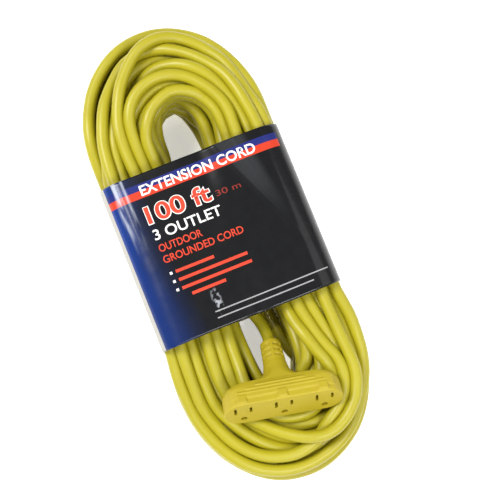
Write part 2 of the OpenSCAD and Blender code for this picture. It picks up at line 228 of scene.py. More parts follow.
def cap_faces(first: int, cols: int, centre: int, flip: bool) -> np.ndarray:
    """Closes a ring of an even number of points with four-cornered faces about a middle point.

    Args:
        first: the ring's first point.
        cols: how many points it has.
        centre: the middle point.
        flip: whether the faces look the other way.
    Returns:
        The faces.
    """
    j = np.arange(0, cols, 2)
    faces = np.stack([np.full(len(j), centre), first + j, first + j + 1, first + (j + 2) % cols], -1)
    return faces[:, ::-1] if flip else faces


# ---- finishes -------------------------------------------------------------------------------------


@dataclass(frozen=True)
class Wire:
    """A shader value. Reckoning with it adds the nodes that do so to its tree."""

    tree: bpy.types.NodeTree
    socket: bpy.types.NodeSocket

    def maths(self, operation: str, a, b, clamp: bool = False) -> "Wire":
        """Reckons with two values.

        Args:
            operation: what is done with them.
            a: the first.
            b: the second.
            clamp: whether the result is held between 0 and 1.
        Returns:
            The result.
        """
        settings = {"operation": operation, "use_clamp": clamp}
        return Wire(self.tree, node(self.tree, "Math", settings, i0=a, i1=b).outputs[0])

    def __add__(self, other) -> "Wire":
        """Adds."""
        return self.maths("ADD", self, other)

    def __sub__(self, other) -> "Wire":
        """Takes away."""
        return self.maths("SUBTRACT", self, other)

    def __rsub__(self, other: float) -> "Wire":
        """Is taken away from a number."""
        return self.maths("SUBTRACT", other, self)

    def __mul__(self, other) -> "Wire":
        """Multiplies."""
        return self.maths("MULTIPLY", self, other)

    def __truediv__(self, other) -> "Wire":
        """Divides."""
        return self.maths("DIVIDE", self, other)

    def step(self, low: float, high: float) -> "Wire":
        """Eases from 0 to 1.

        Args:
            low: the value that gives 0.
            high: the value that gives 1.
        Returns:
            The eased value.
        """
        settings = {"interpolation_type": "SMOOTHSTEP"}
        made = node(self.tree, "MapRange", settings, Value=self, From_Min=low, From_Max=high)
        return Wire(self.tree, made.outputs["Result"])

    def band(self, low: float, high: float, soft: float) -> "Wire":
        """Is 1 in a band and 0 outside it.

        Args:
            low: where the band begins.
            high: where it ends.
            soft: half the width of its eased edges.
        Returns:
            The share.
        """
        return self.step(low - soft, low + soft) * (1.0 - self.step(high - soft, high + soft))

    def mix(self, a, b) -> "Wire":
        """Mixes two colours, with this share of the second.

        Args:
            a: the first colour.
            b: the second colour.
        Returns:
            The mixture.
        """
        made = node(self.tree, "Mix", {"data_type": "RGBA"}, i0=self, i6=a, i7=b)
        return Wire(self.tree, made.outputs[2])

    def noise(self, size_mm: float, detail: float = 3.0) -> "Wire":
        """Reads noise at this place, which is in metres.

        Args:
            size_mm: about how wide its blotches are.
            detail: how many finer layers it has.
        Returns:
            A value about 0.5.
        """
        made = node(self.tree, "TexNoise", None, Vector=self, Scale=1000.0 / size_mm, Detail=detail)
        return Wire(self.tree, made.outputs[0])


def join(made: bpy.types.Node, **inputs) -> bpy.types.Node:
    """Sets a node's inputs or joins them up.

    Args:
        made: the node.
        inputs: values or outputs by input name, with _ for a space, or by number as i0, i1.
    Returns:
        The node.
    """
    for key, value in inputs.items():
        numbered = len(key) > 1 and key[0] == "i" and key[1:].isdigit()
        socket = made.inputs[int(key[1:])] if numbered else made.inputs[key.replace("_", " ")]
        value = value.socket if isinstance(value, Wire) else value
        if isinstance(value, bpy.types.NodeSocket):
            made.id_data.links.new(value, socket)
        else:
            socket.default_value = value
    return made


def node(tree: bpy.types.NodeTree, kind: str, settings: dict | None = None, **inputs) -> bpy.types.Node:
    """Adds a shader node.

    Args:
        tree: where it goes.
        kind: the node's type, without the word ShaderNode.
        settings: attributes of the node.
        inputs: as for join.
    Returns:
        The node.
    """
    made = tree.nodes.new("ShaderNode" + kind)
    for key, value in (settings or {}).items():
        setattr(made, key, value)
    return join(made, **inputs)


@dataclass(frozen=True)
class Finish:
    """A surface finish, with its small unevenness given by real sizes."""

    name: str
    colour: str
    second: str
    roughness: float
    blotch_mm: float = 30.0
    blotch: float = 0.5
    grain_mm: float = 1.2
    grain_height_mm: float = 0.01
    metallic: float = 0.0
    clear: float = 0.0
    ior: float = 1.5
    coat: float = 0.0
    subsurface: float = 0.0

    def make(self) -> bpy.types.Material:
        """Builds the material.

        Returns:
            The new material.
        """
        made = bpy.data.materials.new(self.name)
        made.use_nodes = True
        tree = made.node_tree
        where = Wire(tree, node(tree, "TexCoord").outputs["Object"])
        share = where.noise(self.blotch_mm).step(0.35, 0.7) * self.blotch
        grain = where.noise(self.grain_mm, 4.0)
        low, high = self.roughness * 0.85, self.roughness * 1.15
        rough = node(tree, "MapRange", None, Value=grain, To_Min=low, To_Max=high).outputs["Result"]
        bump = node(tree, "Bump", None, Height=grain, Distance=self.grain_height_mm * MM, Strength=1.0)
        colour = share.mix(linear(self.colour), linear(self.second))
        shader = join(tree.nodes["Principled BSDF"], Base_Color=colour, Roughness=rough,
                      Normal=bump.outputs[0], Metallic=self.metallic)
        if self.clear:
            join(shader, Transmission_Weight=self.clear, IOR=self.ior)
        if self.coat:
            join(shader, Coat_Weight=self.coat)
        if self.subsurface:
            join(shader, Subsurface_Weight=self.subsurface, Subsurface_Radius=(0.004, 0.003, 0.001),
                 Subsurface_Scale=0.5)
        return made


# Soft PVC, extruded: slightly waxy, with broad highlights.
CORD_PVC = Finish("cord_pvc", "ADA31D", "A29717", 0.4, blotch_mm=60, grain_mm=2.5, grain_height_mm=0.012,
                  subsurface=0.06)
# Soft PVC, moulded with a fine matt skin: duller and browner than the jacket.
TAP_PVC = Finish("tap_pvc", "B09E18", "A79514", 0.55, blotch_mm=18, grain_mm=0.9, grain_height_mm=0.02,
                 subsurface=0.06)
# Clear PVC, moulded in a polished mould: see-through with sharp glints.
CLEAR_PVC = Finish("clear_pvc", "F4F1D8", "ECE9CC", 0.12, clear=1.0, ior=1.45, grain_mm=3,
                   grain_height_mm=0.02)
# Hard thermoplastic, moulded: satin and dark.
HARD_PLASTIC = Finish("hard_plastic", "2A2A2C", "343436", 0.45)
# Stamped sheet brass: warm, with soft reflections.
BRASS = Finish("brass", "C9A24B", "B58F3D", 0.28, metallic=1.0, blotch_mm=6)
# Nickel plate on brass: bright and a little warm.
NICKEL = Finish("nickel", "C8C6C0", "BDBAB2", 0.22, metallic=1.0, blotch_mm=6)
# Drawn bare copper: reddish metal.
COPPER = Finish("copper", "C77B4A", "B96C3E", 0.3, metallic=1.0, blotch_mm=3)
# Extruded PVC insulation in the conductors' usual colours: satin.
BLACK_WIRE = Finish("black_wire", "1B1B1D", "232325", 0.4)
WHITE_WIRE = Finish("white_wire", "E8E6DE", "DEDBD0", 0.4)
GREEN_WIRE = Finish("green_wire", "2C7A3D", "256B34", 0.4)
# Printing ink under varnish: even and glossy.
WHITE_INK = Finish("white_ink", "F2F2EE", "E9E9E4", 0.25, blotch_mm=12, coat=0.4)
RED_INK = Finish("red_ink", "D8432A", "CC3B24", 0.25, blotch_mm=12, coat=0.4)
DARK_RED_INK = Finish("dark_red_ink", "8E2A20", "7E241C", 0.25, blotch_mm=12, coat=0.4)
# Matt paper under the object.
FLOOR = Finish("floor", "F4F4F3", "F1F1F0", 0.7, blotch_mm=400, blotch=0.3)


# ---- where the tap and the plug lie ---------------------------------------------------------------


@dataclass(frozen=True)
class Seat:
    """Where a moulded piece lies: its own frame's place and turn."""

    at: tuple[float, float, float]
    turned: tuple[tuple[Axis, float], ...]

    def matrix(self) -> np.ndarray:
        """Gives the turns as one.

        Returns:
            A 3 by 3 matrix, in which the last turn acts first.
        """
        m = np.eye(3)
        for axis, degrees in self.turned:
            m = m @ turn(axis, degrees)
        return m

    def place(self, points: Sequence) -> np.ndarray:
        """Goes from the piece's own frame to the shared one.

        Args:
            points: one point, or rows of them.
        Returns:
            The same in the shared frame.
        """
        return np.asarray(self.at) + np.asarray(points, float) @ self.matrix().T

    def local(self, points: np.ndarray) -> np.ndarray:
        """Goes from the shared frame to the piece's own.

        Args:
            points: rows of points.
        Returns:
            The same in the piece's frame.
        """
        return (points - np.asarray(self.at)) @ self.matrix()


TAP_SEAT = Seat((-4.9, -137.3, 90.0), ((Axis.Z, -12), (Axis.X, -35)))
PLUG_SEAT = Seat((17.5, -75.5, 22.0), ((Axis.Z, 10), (Axis.Y, 90)))
NECK_END = 63.5
JACKET_IN_TAP = 50.0
JACKET_IN_PLUG = 30.4


# ---- the winding ----------------------------------------------------------------------------------


@dataclass
class Winding:
    """The whole cord, wound by hand into a long hank: where its middle line runs.

    It's a chain of points. Settling keeps their spacing, lets them bend no harder than they may, keeps a
    cord's thickness between stretches, and holds them out of the tap, the plug and the sleeve.
    """

    diameter: float = 10.4
    length: float = 30480.0
    turns: int = 39
    last_turn: float = 0.745
    points: int = 4065
    top_y: float = 108.0
    low_y: float = -100.0
    half_w: float = 80.4
    loop_w: float = 85.0
    half_low: float = 203.7
    half_top: float = 210.5
    height: float = 82.0
    corner: float = 22.0
    gap_x: float = 6.5
    gap_half: float = 17.0
    top_left: float = -12.5
    top_right: float = 10.0
    top_lean: float = 0.2
    gap_top: float = 30.0
    low_left: float = -10.0
    low_right: float = 22.0
    gap_low: float = 20.0
    card: float = 0.9
    card_low_y: float = -66.0
    tap_lead_z: float = 50.0
    plug_lead_z: float = 20.6
    seed: int = 4
    columns_each_side: tuple[int, int] = (5, 6)
    layer: int = 6
    swaps: int = 4000
    easy_span: float = 0.5
    tightest: float = 40.0
    springy: float = 0.01
    bend_steps: tuple[int, ...] = (1, 2, 4, 1, 2, 4, 1, 2, 3)
    late_bend_steps: int = 3
    bend_middle: float = 0.2
    bend_ends: float = 0.1
    stretch_passes: int = 3
    fall: float = 0.02
    search_every: int = 8
    search_spare: float = 5.0
    grown_by: float = 0.6
    thin_start: float = 0.8
    squeezed: float = 0.955
    push: float = 1.3
    free_of_gap: int = 8
    clearance: float = 0.3

    # Right run, upper loop, left run and lower loop of the turns that show, from 0 at the gap to 1 outside.
    SHOWN_TURNS = (
        (1.0, 1.0, 0.95, 0.95), (0.85, 0.8, 0.4, 0.6), (0.6, 0.7, 0.84, 0.8), (0.2, 0.36, 0.26, 0.5),
        (0.72, 0.62, 0.66, 0.75), (0.36, 0.24, 0.5, 0.55), (0.5, 0.55, 0.92, 0.88), (0.1, 0.1, 0.06, 0.4),
    )
    TAP_ROUTE = (
        (6.8, -79.8, 49.4), (6.6, -72.6, 46.1), (5.3, -65.2, 43.9), (3, -57.6, 42.9), (0, -50, 42.8),
        (-2.6, -42, 43.3), (-4.5, -32.3, 44.7), (-5.2, -20.5, 46.5), (-3.5, -6.7, 48), (2.5, 8.1, 49.1),
        (10.9, 21.6, 49.7), (18.6, 35.6, 50), (25, 50.5, 50),
    )
    PLUG_ROUTE = ((19.3, -86, 22), (21.5, -96, 21.8), (25, -106, 21.4), (30.5, -116, 21), (37, -125, 20.6))
    LAST_BEND = ((43, -143, 20.6), (39.5, -157, 20.6), (28, -169.5, 20.6), (12, -174, 20.6))
    # In their piece's frame: each block's middle, half sizes and edge radius, and each rod's ends and radius.
    TAP_BLOCKS = (((0, 10.75, 0), (49.25, 10.75, 14.25), 9), ((0, 25, 0), (22, 6, 12.5), 6),
                  ((0, 34, 0), (12.5, 7, 11.5), 5))
    TAP_RODS = (((0, 40, 0), (0, NECK_END - 2, 0), 9.6),)
    PLUG_BLOCKS = (((0, 48, 0), (15, 15, 11.25), 4),)
    PLUG_RODS = (((0, 5, 0), (0, 30, 0), 9.0), ((0, 64, 0), (0, 80, 0), 8.0))

    def outer_half(self, y: np.ndarray) -> np.ndarray:
        """Half the hank's width at each y: the sleeve's, easing out to the loose loop's below it."""
        return self.half_w + (self.loop_w - self.half_w) * smooth((-58 - y) / 42)

    def gap(self, y: np.ndarray, z: np.ndarray) -> tuple[np.ndarray, np.ndarray]:
        """Measures the gap. At its upper end the right side leans, so that low turns reach further in.

        Args:
            y: where along the hank.
            z: how high.
        Returns:
            The gap's middle and its half width.
        """
        up, down = smooth((y - 20) / 70), smooth((-60 - y) / 40)
        left, right = self.gap_x - self.gap_half, self.gap_x + self.gap_half
        left = left + (self.top_left - left) * up + (self.low_left - left) * down
        right = right + (self.top_right + self.top_lean * z - right) * up + (self.low_right - right) * down
        return (left + right) / 2, (right - left) / 2

    def across(self, side: int, y: np.ndarray, part: np.ndarray, z: np.ndarray) -> np.ndarray:
        """Places a turn across one side of the hank.

        Args:
            side: 1 for the right and -1 for the left.
            y: where along the hank.
            part: how far from the gap's edge, at 0, to the hank's, at 1.
            z: how high.
        Returns:
            The turn's x.
        """
        x, half = self.gap(y, z)
        inner = x + side * half
        room = np.abs(side * self.outer_half(y) - inner) - self.diameter
        return inner + side * (self.diameter / 2 + part * room)

    def columns(self) -> np.ndarray:
        """Chooses where each turn lies across the hank.

        Each run fills its columns layer by layer. Neighbours are then swapped until every loop joins runs that
        lie far enough apart for an easy bend, and near enough alike for the loops to nest. The turns that show
        are placed as listed.

        Returns:
            Right run, upper loop, left run and lower loop of each turn, from 0 at the gap to 1 outside.
        """
        rng = np.random.default_rng(self.seed)
        order = []
        for n in self.columns_each_side:
            drawn = np.concatenate([rng.permutation(n) for _ in range(self.turns // n + 2)])
            order.append(drawn[: self.turns + 1] / (n - 1))
        shown = np.array(self.SHOWN_TURNS)
        for run, column in zip(order, (0, 2)):
            run[: len(shown)] = shown[:, column]

        def unease() -> float:
            """Adds up how far the loops fall short of the easy span, and how far their two runs differ."""
            right, left = order
            spans = np.r_[right + left, left[:-1] + right[1:]]
            unlike = np.r_[right - left, left[:-1] - right[1:]]
            return float((np.maximum(self.easy_span - spans, 0) ** 2).sum() * 20 + (unlike**2).sum())

        best = unease()
        for _ in range(self.swaps):
            run = order[rng.integers(2)]
            i = rng.integers(len(shown), self.turns - 3)
            j = i + rng.integers(1, 4)
            run[i], run[j] = run[j], run[i]
            now = unease()
            if now > best:
                run[i], run[j] = run[j], run[i]
            best = min(best, now)
        right, left = order
        top, low = right + left, left + np.r_[right[1:], 0.5]
        for loop in (top, low):
            for k in range(len(shown), self.turns + 1, self.layer):
                part = loop[k : k + self.layer]
                ranks = (part + 0.01 * rng.random(len(part))).argsort().argsort()
                loop[k : k + self.layer] = ranks / max(len(part) - 1, 1)
        top[: len(shown)], low[: len(shown)] = shown[:, 1], shown[:, 3]
        return np.stack([right, top, left, low], 1)

    def winding_line(self, t: np.ndarray, z: np.ndarray) -> np.ndarray:
        """Lays the turns: straight runs joined by half ellipses.

        Args:
            t: how many turns have gone by, counted from the middle of the right run.
            z: the height there.
        Returns:
            x and y.
        """
        part = self.columns()
        k = np.floor(t + 0.125).astype(int)
        q = (t - k) * 4
        nxt, last = np.minimum(k + 1, self.turns), np.maximum(k - 1, 0)

        def loop(y0: float, end: float, far: float, first: np.ndarray, second: np.ndarray,
                 deep: np.ndarray) -> tuple:
            """Lays half an ellipse between two runs.

            Args:
                y0: where the runs end.
                end: the innermost loop's reach.
                far: the outermost loop's reach.
                first: how far out the right run lies.
                second: how far out the left run lies.
                deep: how far out the loop lies.
            Returns:
                Its middle, half width, shoulder and depth.
            """
            a, b = self.across(1, q * 0 + y0, first, z), self.across(-1, q * 0 + y0, second, z)
            w = (a - b) / 2
            way = np.sign(far)
            apex = end + way * (self.diameter / 2 + deep * (abs(far) - abs(end) - self.diameter))
            depth = np.clip(1.15 * w, 30, np.abs(apex - y0) + 8)
            return (a + b) / 2, w, apex - way * depth, depth

        top = loop(self.top_y, self.top_y + self.gap_top, self.half_top, part[k, 0], part[k, 2], part[k, 1])
        low_end = self.low_y - self.gap_low
        low = loop(self.low_y, low_end, -self.half_low, part[nxt, 0], part[k, 2], part[k, 3])
        before = loop(self.low_y, low_end, -self.half_low, part[k, 0], part[last, 2], part[last, 3])
        run_up, over, run_down = q < 0.5, q < 1.5, q < 2.5
        y_up = before[2] + (top[2] - before[2]) * (q + 0.5)
        y_down = top[2] + (low[2] - top[2]) * (q - 1.5)
        a, b = (q - 0.5) * np.pi, (q - 2.5) * np.pi
        right, left = self.across(1, y_up, part[k, 0], z), self.across(-1, y_down, part[k, 2], z)
        where = [run_up, over, run_down]
        x = np.select(where, [right, top[0] + top[1] * np.cos(a), left], low[0] - low[1] * np.cos(b))
        y = np.select(where, [y_up, top[2] + top[3] * np.sin(a), y_down], low[2] - low[3] * np.sin(b))
        return np.stack([x, y], 1)

    def first_line(self) -> tuple[np.ndarray, int, int]:
        """Lays the cord along its route, before it settles.

        Returns:
            The line, and how many of its points at the start and at the end are held.
        """
        lead = curve_through([TAP_SEAT.place([0, NECK_END, 0]), *self.TAP_ROUTE])
        lead = np.vstack([TAP_SEAT.place([0, JACKET_IN_TAP, 0]), lead])
        tail = curve_through([PLUG_SEAT.place([0, 0, 0]), *self.PLUG_ROUTE, *self.LAST_BEND])
        tail = np.vstack([PLUG_SEAT.place([0, JACKET_IN_PLUG, 0]), tail])[::-1]
        start, end = 0.1, self.turns - 1 + self.last_turn
        t = np.arange(start, end, 0.004)
        z_top, z_low = self.height - self.diameter / 2 - 0.2, self.diameter / 2 + self.card
        z = z_top - (z_top - z_low) * np.clip(t - 0.9, 0, None) / (self.turns - 1.9)
        climb, leave = smooth((t - start) / 0.8), smooth((end - t) / 0.5)
        z = self.plug_lead_z * (1 - leave) + (z * climb + self.tap_lead_z * (1 - climb)) * leave
        line = np.vstack([lead, np.column_stack([self.winding_line(t, z), z]), tail])
        step = self.length / (self.points - 1)
        held_start = int(along(lead)[-1] / step)
        held_end = int(along(tail)[-1] / step)
        return resample(line, self.points), held_start, held_end

    @staticmethod
    def oval(dx: np.ndarray, dy: np.ndarray, a: np.ndarray | float, b: float) -> tuple[np.ndarray, ...]:
        """Measures from an ellipse, nearly: how far the scaled radius is from 1, over its slope.

        Args:
            dx: distance from its middle along x.
            dy: distance from its middle along y.
            a: its half width.
            b: its half depth.
        Returns:
            The distance outside it, and the way out.
        """
        u, v = dx / a, dy / b
        r = np.sqrt(u * u + v * v) + 1e-9
        g = np.stack([u / a, v / b], -1) / r[:, None]
        size = np.linalg.norm(g, axis=1)
        return (r - 1) / size, g / size[:, None]

    def outside(self, x: np.ndarray, y: np.ndarray) -> tuple[np.ndarray, np.ndarray]:
        """Measures from the hank's outline.

        Args:
            x: where across the hank.
            y: where along it.
        Returns:
            The distance inside the outline, and the way out.
        """
        d, n = np.empty_like(x), np.zeros(x.shape + (2,))
        top, low = y > self.top_y, y < self.low_y
        mid = ~(top | low)
        for m, cy, a, b in ((top, self.top_y, self.half_w, self.half_top - self.top_y),
                            (low, self.low_y, self.loop_w, self.half_low + self.low_y)):
            past, n[m] = self.oval(x[m], y[m] - cy, a, b)
            d[m] = -past
        d[mid] = self.outer_half(y[mid]) - np.abs(x[mid])
        n[mid, 0] = np.sign(x[mid])
        return d, n

    def inside(self, x: np.ndarray, y: np.ndarray, z: np.ndarray) -> tuple[np.ndarray, np.ndarray]:
        """Measures from the gap's edge.

        Args:
            x: where across the hank.
            y: where along it.
            z: how high.
        Returns:
            The distance outside the gap, and the way out of it.
        """
        d, n = np.empty_like(x), np.zeros(x.shape + (2,))
        cx, half = self.gap(np.clip(y, self.low_y, self.top_y), z)
        top, low = y > self.top_y, y < self.low_y
        for m, cy, deep in ((top, self.top_y, self.gap_top), (low, self.low_y, self.gap_low)):
            d[m], n[m] = self.oval(x[m] - cx[m], y[m] - cy, half[m], deep)
        mid = ~(top | low)
        d[mid] = np.abs(x[mid] - cx[mid]) - half[mid]
        n[mid, 0] = np.sign(x[mid] - cx[mid])
        return d, n

    @staticmethod
    def out_of_block(p: np.ndarray, centre: Sequence, half: Sequence, r: float, room: float) -> np.ndarray:
        """Moves points out of a block with rounded edges.

        Args:
            p: the points.
            centre: the block's middle.
            half: its half sizes.
            r: its edges' radius.
            room: how far out of it they have to be.
        Returns:
            The points, moved.
        """
        q = p - np.asarray(centre, float)
        e = np.abs(q) - (np.asarray(half, float) - r)
        o = np.maximum(e, 0)
        size = np.linalg.norm(o, axis=1)
        depth = size + np.minimum(e.max(1), 0) - r - room
        nearest = np.eye(3)[e.argmax(1)]
        way = np.where(e.max(1)[:, None] < 0, nearest, o / np.maximum(size, 1e-6)[:, None])
        way = way * np.where(q < 0, -1, 1)
        return p - way * np.minimum(depth, 0)[:, None]

    @staticmethod
    def out_of_rod(p: np.ndarray, a: Sequence, b: Sequence, r: float, room: float) -> np.ndarray:
        """Moves points out of a round-ended rod.

        Args:
            p: the points.
            a: one end of the rod's middle line.
            b: its other end.
            r: its radius.
            room: how far out of it they have to be.
        Returns:
            The points, moved.
        """
        a, b = np.asarray(a, float), np.asarray(b, float)
        t = np.clip((p - a) @ (b - a) / ((b - a) @ (b - a)), 0, 1)
        q = p - (a + t[:, None] * (b - a))
        size = np.linalg.norm(q, axis=1) + 1e-9
        return p - q / size[:, None] * np.minimum(size - r - room, 0)[:, None]

    def clear_of(self, points: np.ndarray, near: np.ndarray, seat: Seat, blocks: tuple, rods: tuple) -> None:
        """Moves points out of a moulding.

        Args:
            points: all the points, which are changed.
            near: the numbers of those that may touch it.
            seat: where it lies.
            blocks: the blocks it's made of.
            rods: the rods it's made of.
        """
        p = seat.local(points[near])
        room = self.diameter / 2 + self.clearance
        for block in blocks:
            p = self.out_of_block(p, *block, room)
        for rod in rods:
            p = self.out_of_rod(p, *rod, room)
        points[near] = seat.place(p)

    def walls(self, x: np.ndarray, held_start: int) -> np.ndarray:
        """Brings points back inside the hank's outline and out of the gap, the tap and the plug.

        Args:
            x: the chain's points.
            held_start: how many of them are held at its start.
        Returns:
            The points, moved.
        """
        y = x.copy()
        r = self.diameter / 2
        low = np.where(y[:, 1] > self.card_low_y, self.card + r, r + 0.02)
        y[:, 2] = np.clip(y[:, 2], low, self.height - r + 0.25)
        d, n = self.outside(y[:, 0], y[:, 1])
        y[:, :2] -= n * np.maximum(r + self.clearance - d, 0)[:, None]
        d, n = self.outside(y[:, 0], y[:, 1])
        for cz, side in ((self.height - self.corner, 1), (self.corner, -1)):
            u, v = self.corner - d, (y[:, 2] - cz) * side
            size = np.sqrt(u * u + v * v)
            m = (u > 0) & (v > 0) & (size > self.corner - r)
            f = (self.corner - r) / np.maximum(size, 1e-6)
            y[m, :2] -= n[m] * (u * (1 - f))[m, None]
            y[m, 2] = (cz + side * v * f)[m]
        d, n = self.inside(y[:, 0], y[:, 1], y[:, 2])
        push = np.maximum(r - d, 0)
        push[: held_start + self.free_of_gap] = 0
        y[:, :2] += n * push[:, None]
        near = np.flatnonzero((y[:, 1] < -60) & (y[:, 1] > -175) & (y[:, 2] > 20))
        self.clear_of(y, near, TAP_SEAT, self.TAP_BLOCKS, self.TAP_RODS)
        near = np.flatnonzero((y[:, 1] < 20) & (y[:, 1] > -85) & (np.abs(y[:, 0] - 10) < 40))
        self.clear_of(y, near, PLUG_SEAT, self.PLUG_BLOCKS, self.PLUG_RODS)
        return y

    @staticmethod
    def near_pairs(middle: np.ndarray, reach: float) -> np.ndarray:
        """Finds the stretches that lie near each other, by sorting them into cells.

        Args:
            middle: the stretches' middles.
            reach: how near, which is also a cell's size.
        Returns:
            Two rows of stretch numbers.
        """
        cell = np.floor((middle - middle.min(0)) / reach).astype(np.int64) + 1
        dims = cell.max(0) + 2
        key = (cell[:, 0] * dims[1] + cell[:, 1]) * dims[2] + cell[:, 2]
        order = np.argsort(key, kind="stable")
        sorted_key = key[order]
        pairs = []
        here = (0, 0, 0)
        near = (-1, 0, 1)
        steps = [(i, j, k) for i in near for j in near for k in near if (i, j, k) >= here]
        for i, j, k in steps:
            other = key + (i * dims[1] + j) * dims[2] + k
            first, last = (np.searchsorted(sorted_key, other, side) for side in ("left", "right"))
            n = last - first
            a = np.repeat(np.arange(len(key)), n)
            b = order[np.arange(n.sum()) + np.repeat(first - np.r_[0, np.cumsum(n)[:-1]], n)]
            keep = np.abs(a - b) >= 4
            if (i, j, k) == here:
                keep &= a < b
            a, b = a[keep], b[keep]
            d = middle[a] - middle[b]
            keep = (d * d).sum(1) < reach * reach
            pairs.append(np.stack([a[keep], b[keep]]))
        return np.concatenate(pairs, 1)

    def contacts(self, x: np.ndarray, pairs: np.ndarray, thick: float) -> tuple[np.ndarray, float]:
        """Works out the moves that bring near stretches a cord's thickness apart.

        Args:
            x: the chain's points.
            pairs: two rows of stretch numbers.
            thick: the thickness.
        Returns:
            How far each point moves, and the deepest overlap.
        """
        a, b = pairs
        p1, p2 = x[a], x[b]
        d1, d2, r = x[a + 1] - p1, x[b + 1] - p2, p1 - p2
        aa, ee, ff = (d1 * d1).sum(1), (d2 * d2).sum(1), (d2 * r).sum(1)
        cc, bb = (d1 * r).sum(1), (d1 * d2).sum(1)
        den = aa * ee - bb * bb
        s = np.where(den > 1e-9 * aa * ee, np.clip((bb * ff - cc * ee) / np.maximum(den, 1e-12), 0, 1), 0.5)
        t = np.clip((bb * s + ff) / ee, 0, 1)
        s = np.clip((bb * t - cc) / aa, 0, 1)
        r = (p1 + s[:, None] * d1) - (p2 + t[:, None] * d2)
        size = np.linalg.norm(r, axis=1)
        m = size < thick
        a, b, s, t, r, gap = a[m], b[m], s[m], t[m], r[m], np.maximum(size[m], 1e-6)
        push = (thick - gap)[:, None] * r / gap[:, None]
        share = (1 - s) ** 2 + s**2 + (1 - t) ** 2 + t**2
        index = np.concatenate([a, a + 1, b, b + 1])
        weight = np.concatenate([1 - s, s, t - 1, -t]) / np.tile(share, 4)
        move = np.tile(push, (4, 1)) * weight[:, None]
        count = np.bincount(index, minlength=len(x))
        total = np.stack([np.bincount(index, move[:, k], minlength=len(x)) for k in range(3)], 1)
        return total * (self.push / np.maximum(count * 0.5, 1))[:, None], float((thick - gap).max(initial=0))

    def settle(self, rounds: int) -> np.ndarray:
        """Settles the winding.

        Args:
            rounds: how many times every rule is applied in turn.
        Returns:
            The cord's middle line, in millimetres.
        """
        x, held_start, held_end = self.first_line()
        n = len(x)
        free = np.ones(n, bool)
        free[:held_start] = False
        free[n - held_end :] = False
        rest = self.length / (n - 1)
        for k in range(rounds):
            if k % self.search_every == 0:
                pairs = self.near_pairs(0.5 * (x[1:] + x[:-1]), self.diameter + rest + self.search_spare)
            x[free, 2] -= self.fall
            late = k > self.grown_by * rounds
            for m in self.bend_steps[: self.late_bend_steps] if late else self.bend_steps:
                c = x[2 * m :] - 2 * x[m:-m] + x[: -2 * m]
                bend = np.linalg.norm(c, axis=1) / (m * m * rest * rest) * self.tightest
                w = np.maximum(np.clip((bend - 1) / np.maximum(bend, 1e-9), 0, 1), self.springy)
                move = np.zeros_like(x)
                move[m:-m] += c * (w * self.bend_middle)[:, None]
                move[2 * m :] -= c * (w * self.bend_ends)[:, None]
                move[: -2 * m] -= c * (w * self.bend_ends)[:, None]
                x[free] += move[free]
            so_far = min(1.0, k / (self.grown_by * rounds))
            grown = self.thin_start + (self.squeezed - self.thin_start) * so_far
            for _ in range(2 if late else 1):
                move, worst = self.contacts(x, pairs, self.diameter * grown)
                x[free] += move[free]
            for _ in range(self.stretch_passes):
                for first in (0, 1):
                    i = np.arange(first, n - 1, 2)
                    d = x[i + 1] - x[i]
                    size = np.linalg.norm(d, axis=1) + 1e-9
                    wi, wj = free[i].astype(float), free[i + 1].astype(float)
                    fix = d * ((size - rest) / size / np.maximum(wi + wj, 1e-9))[:, None]
                    x[i] += fix * wi[:, None]
                    x[i + 1] -= fix * wj[:, None]
            x[free] = self.walls(x, held_start)[free]
            if k % 100 == 99:
                log.info("settling, round %d: deepest overlap %.1f mm", k + 1, worst)
        return x


@dataclass
class Cord:
    """The jacket of the whole cord, as one tube."""

    sides: int = 14
    ring_mm: float = 5.6
    lay_mm: float = 130.0
    lobe: float = 0.012
    steps: int = 5

    def build(self, line: np.ndarray, diameter: float) -> tuple[bpy.types.Object, np.ndarray]:
        """Makes the tube round a line. The three conductors show as faint twisted lobes.

        Args:
            line: the middle line, in millimetres.
            diameter: of the jacket.
        Returns:
            The piece, and its middle line in metres.
        """
        fine = curve_through(line, self.steps)
        count = int(along(fine)[-1] / self.ring_mm)
        p = resample(fine, count)
        t = np.gradient(p, axis=0)
        t /= np.linalg.norm(t, axis=1, keepdims=True)
        side = np.cross(t, [0.0, 0.0, 1.0])
        side /= np.linalg.norm(side, axis=1, keepdims=True)
        up = np.cross(side, t)
        s = along(p)
        a = 2 * np.pi * np.arange(self.sides) / self.sides
        r = diameter / 2 * (1 + self.lobe * np.cos(3 * a[None] - 2 * np.pi * 3 * s[:, None] / self.lay_mm))
        out = np.cos(a)[None, :, None] * side[:, None] + np.sin(a)[None, :, None] * up[:, None]
        rings = p[:, None] + r[..., None] * out
        points = np.vstack([rings.reshape(-1, 3), p[:1], p[-1:]])
        uv = np.stack(np.broadcast_arrays(a[None] / (2 * np.pi), s[:, None] / 100), -1).reshape(-1, 2)
        uv = np.vstack([uv, [[0, 0], [0, 0]]])
        size = count * self.sides
        faces = np.vstack([grid_faces(count, self.sides)[:, ::-1], cap_faces(0, self.sides, size, False),
                           cap_faces(size - self.sides, self.sides, size + 1, True)])
        obj = mesh_object("cord_jacket", points, faces, Place.CORD, uv=uv)
        obj.data.materials.append(CORD_PVC.make())
        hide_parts("cord_hank", "cord_tap_lead", "cord_plug_lead")
        return obj, p * MM


# ---- mouldings ------------------------------------------------------------------------------------


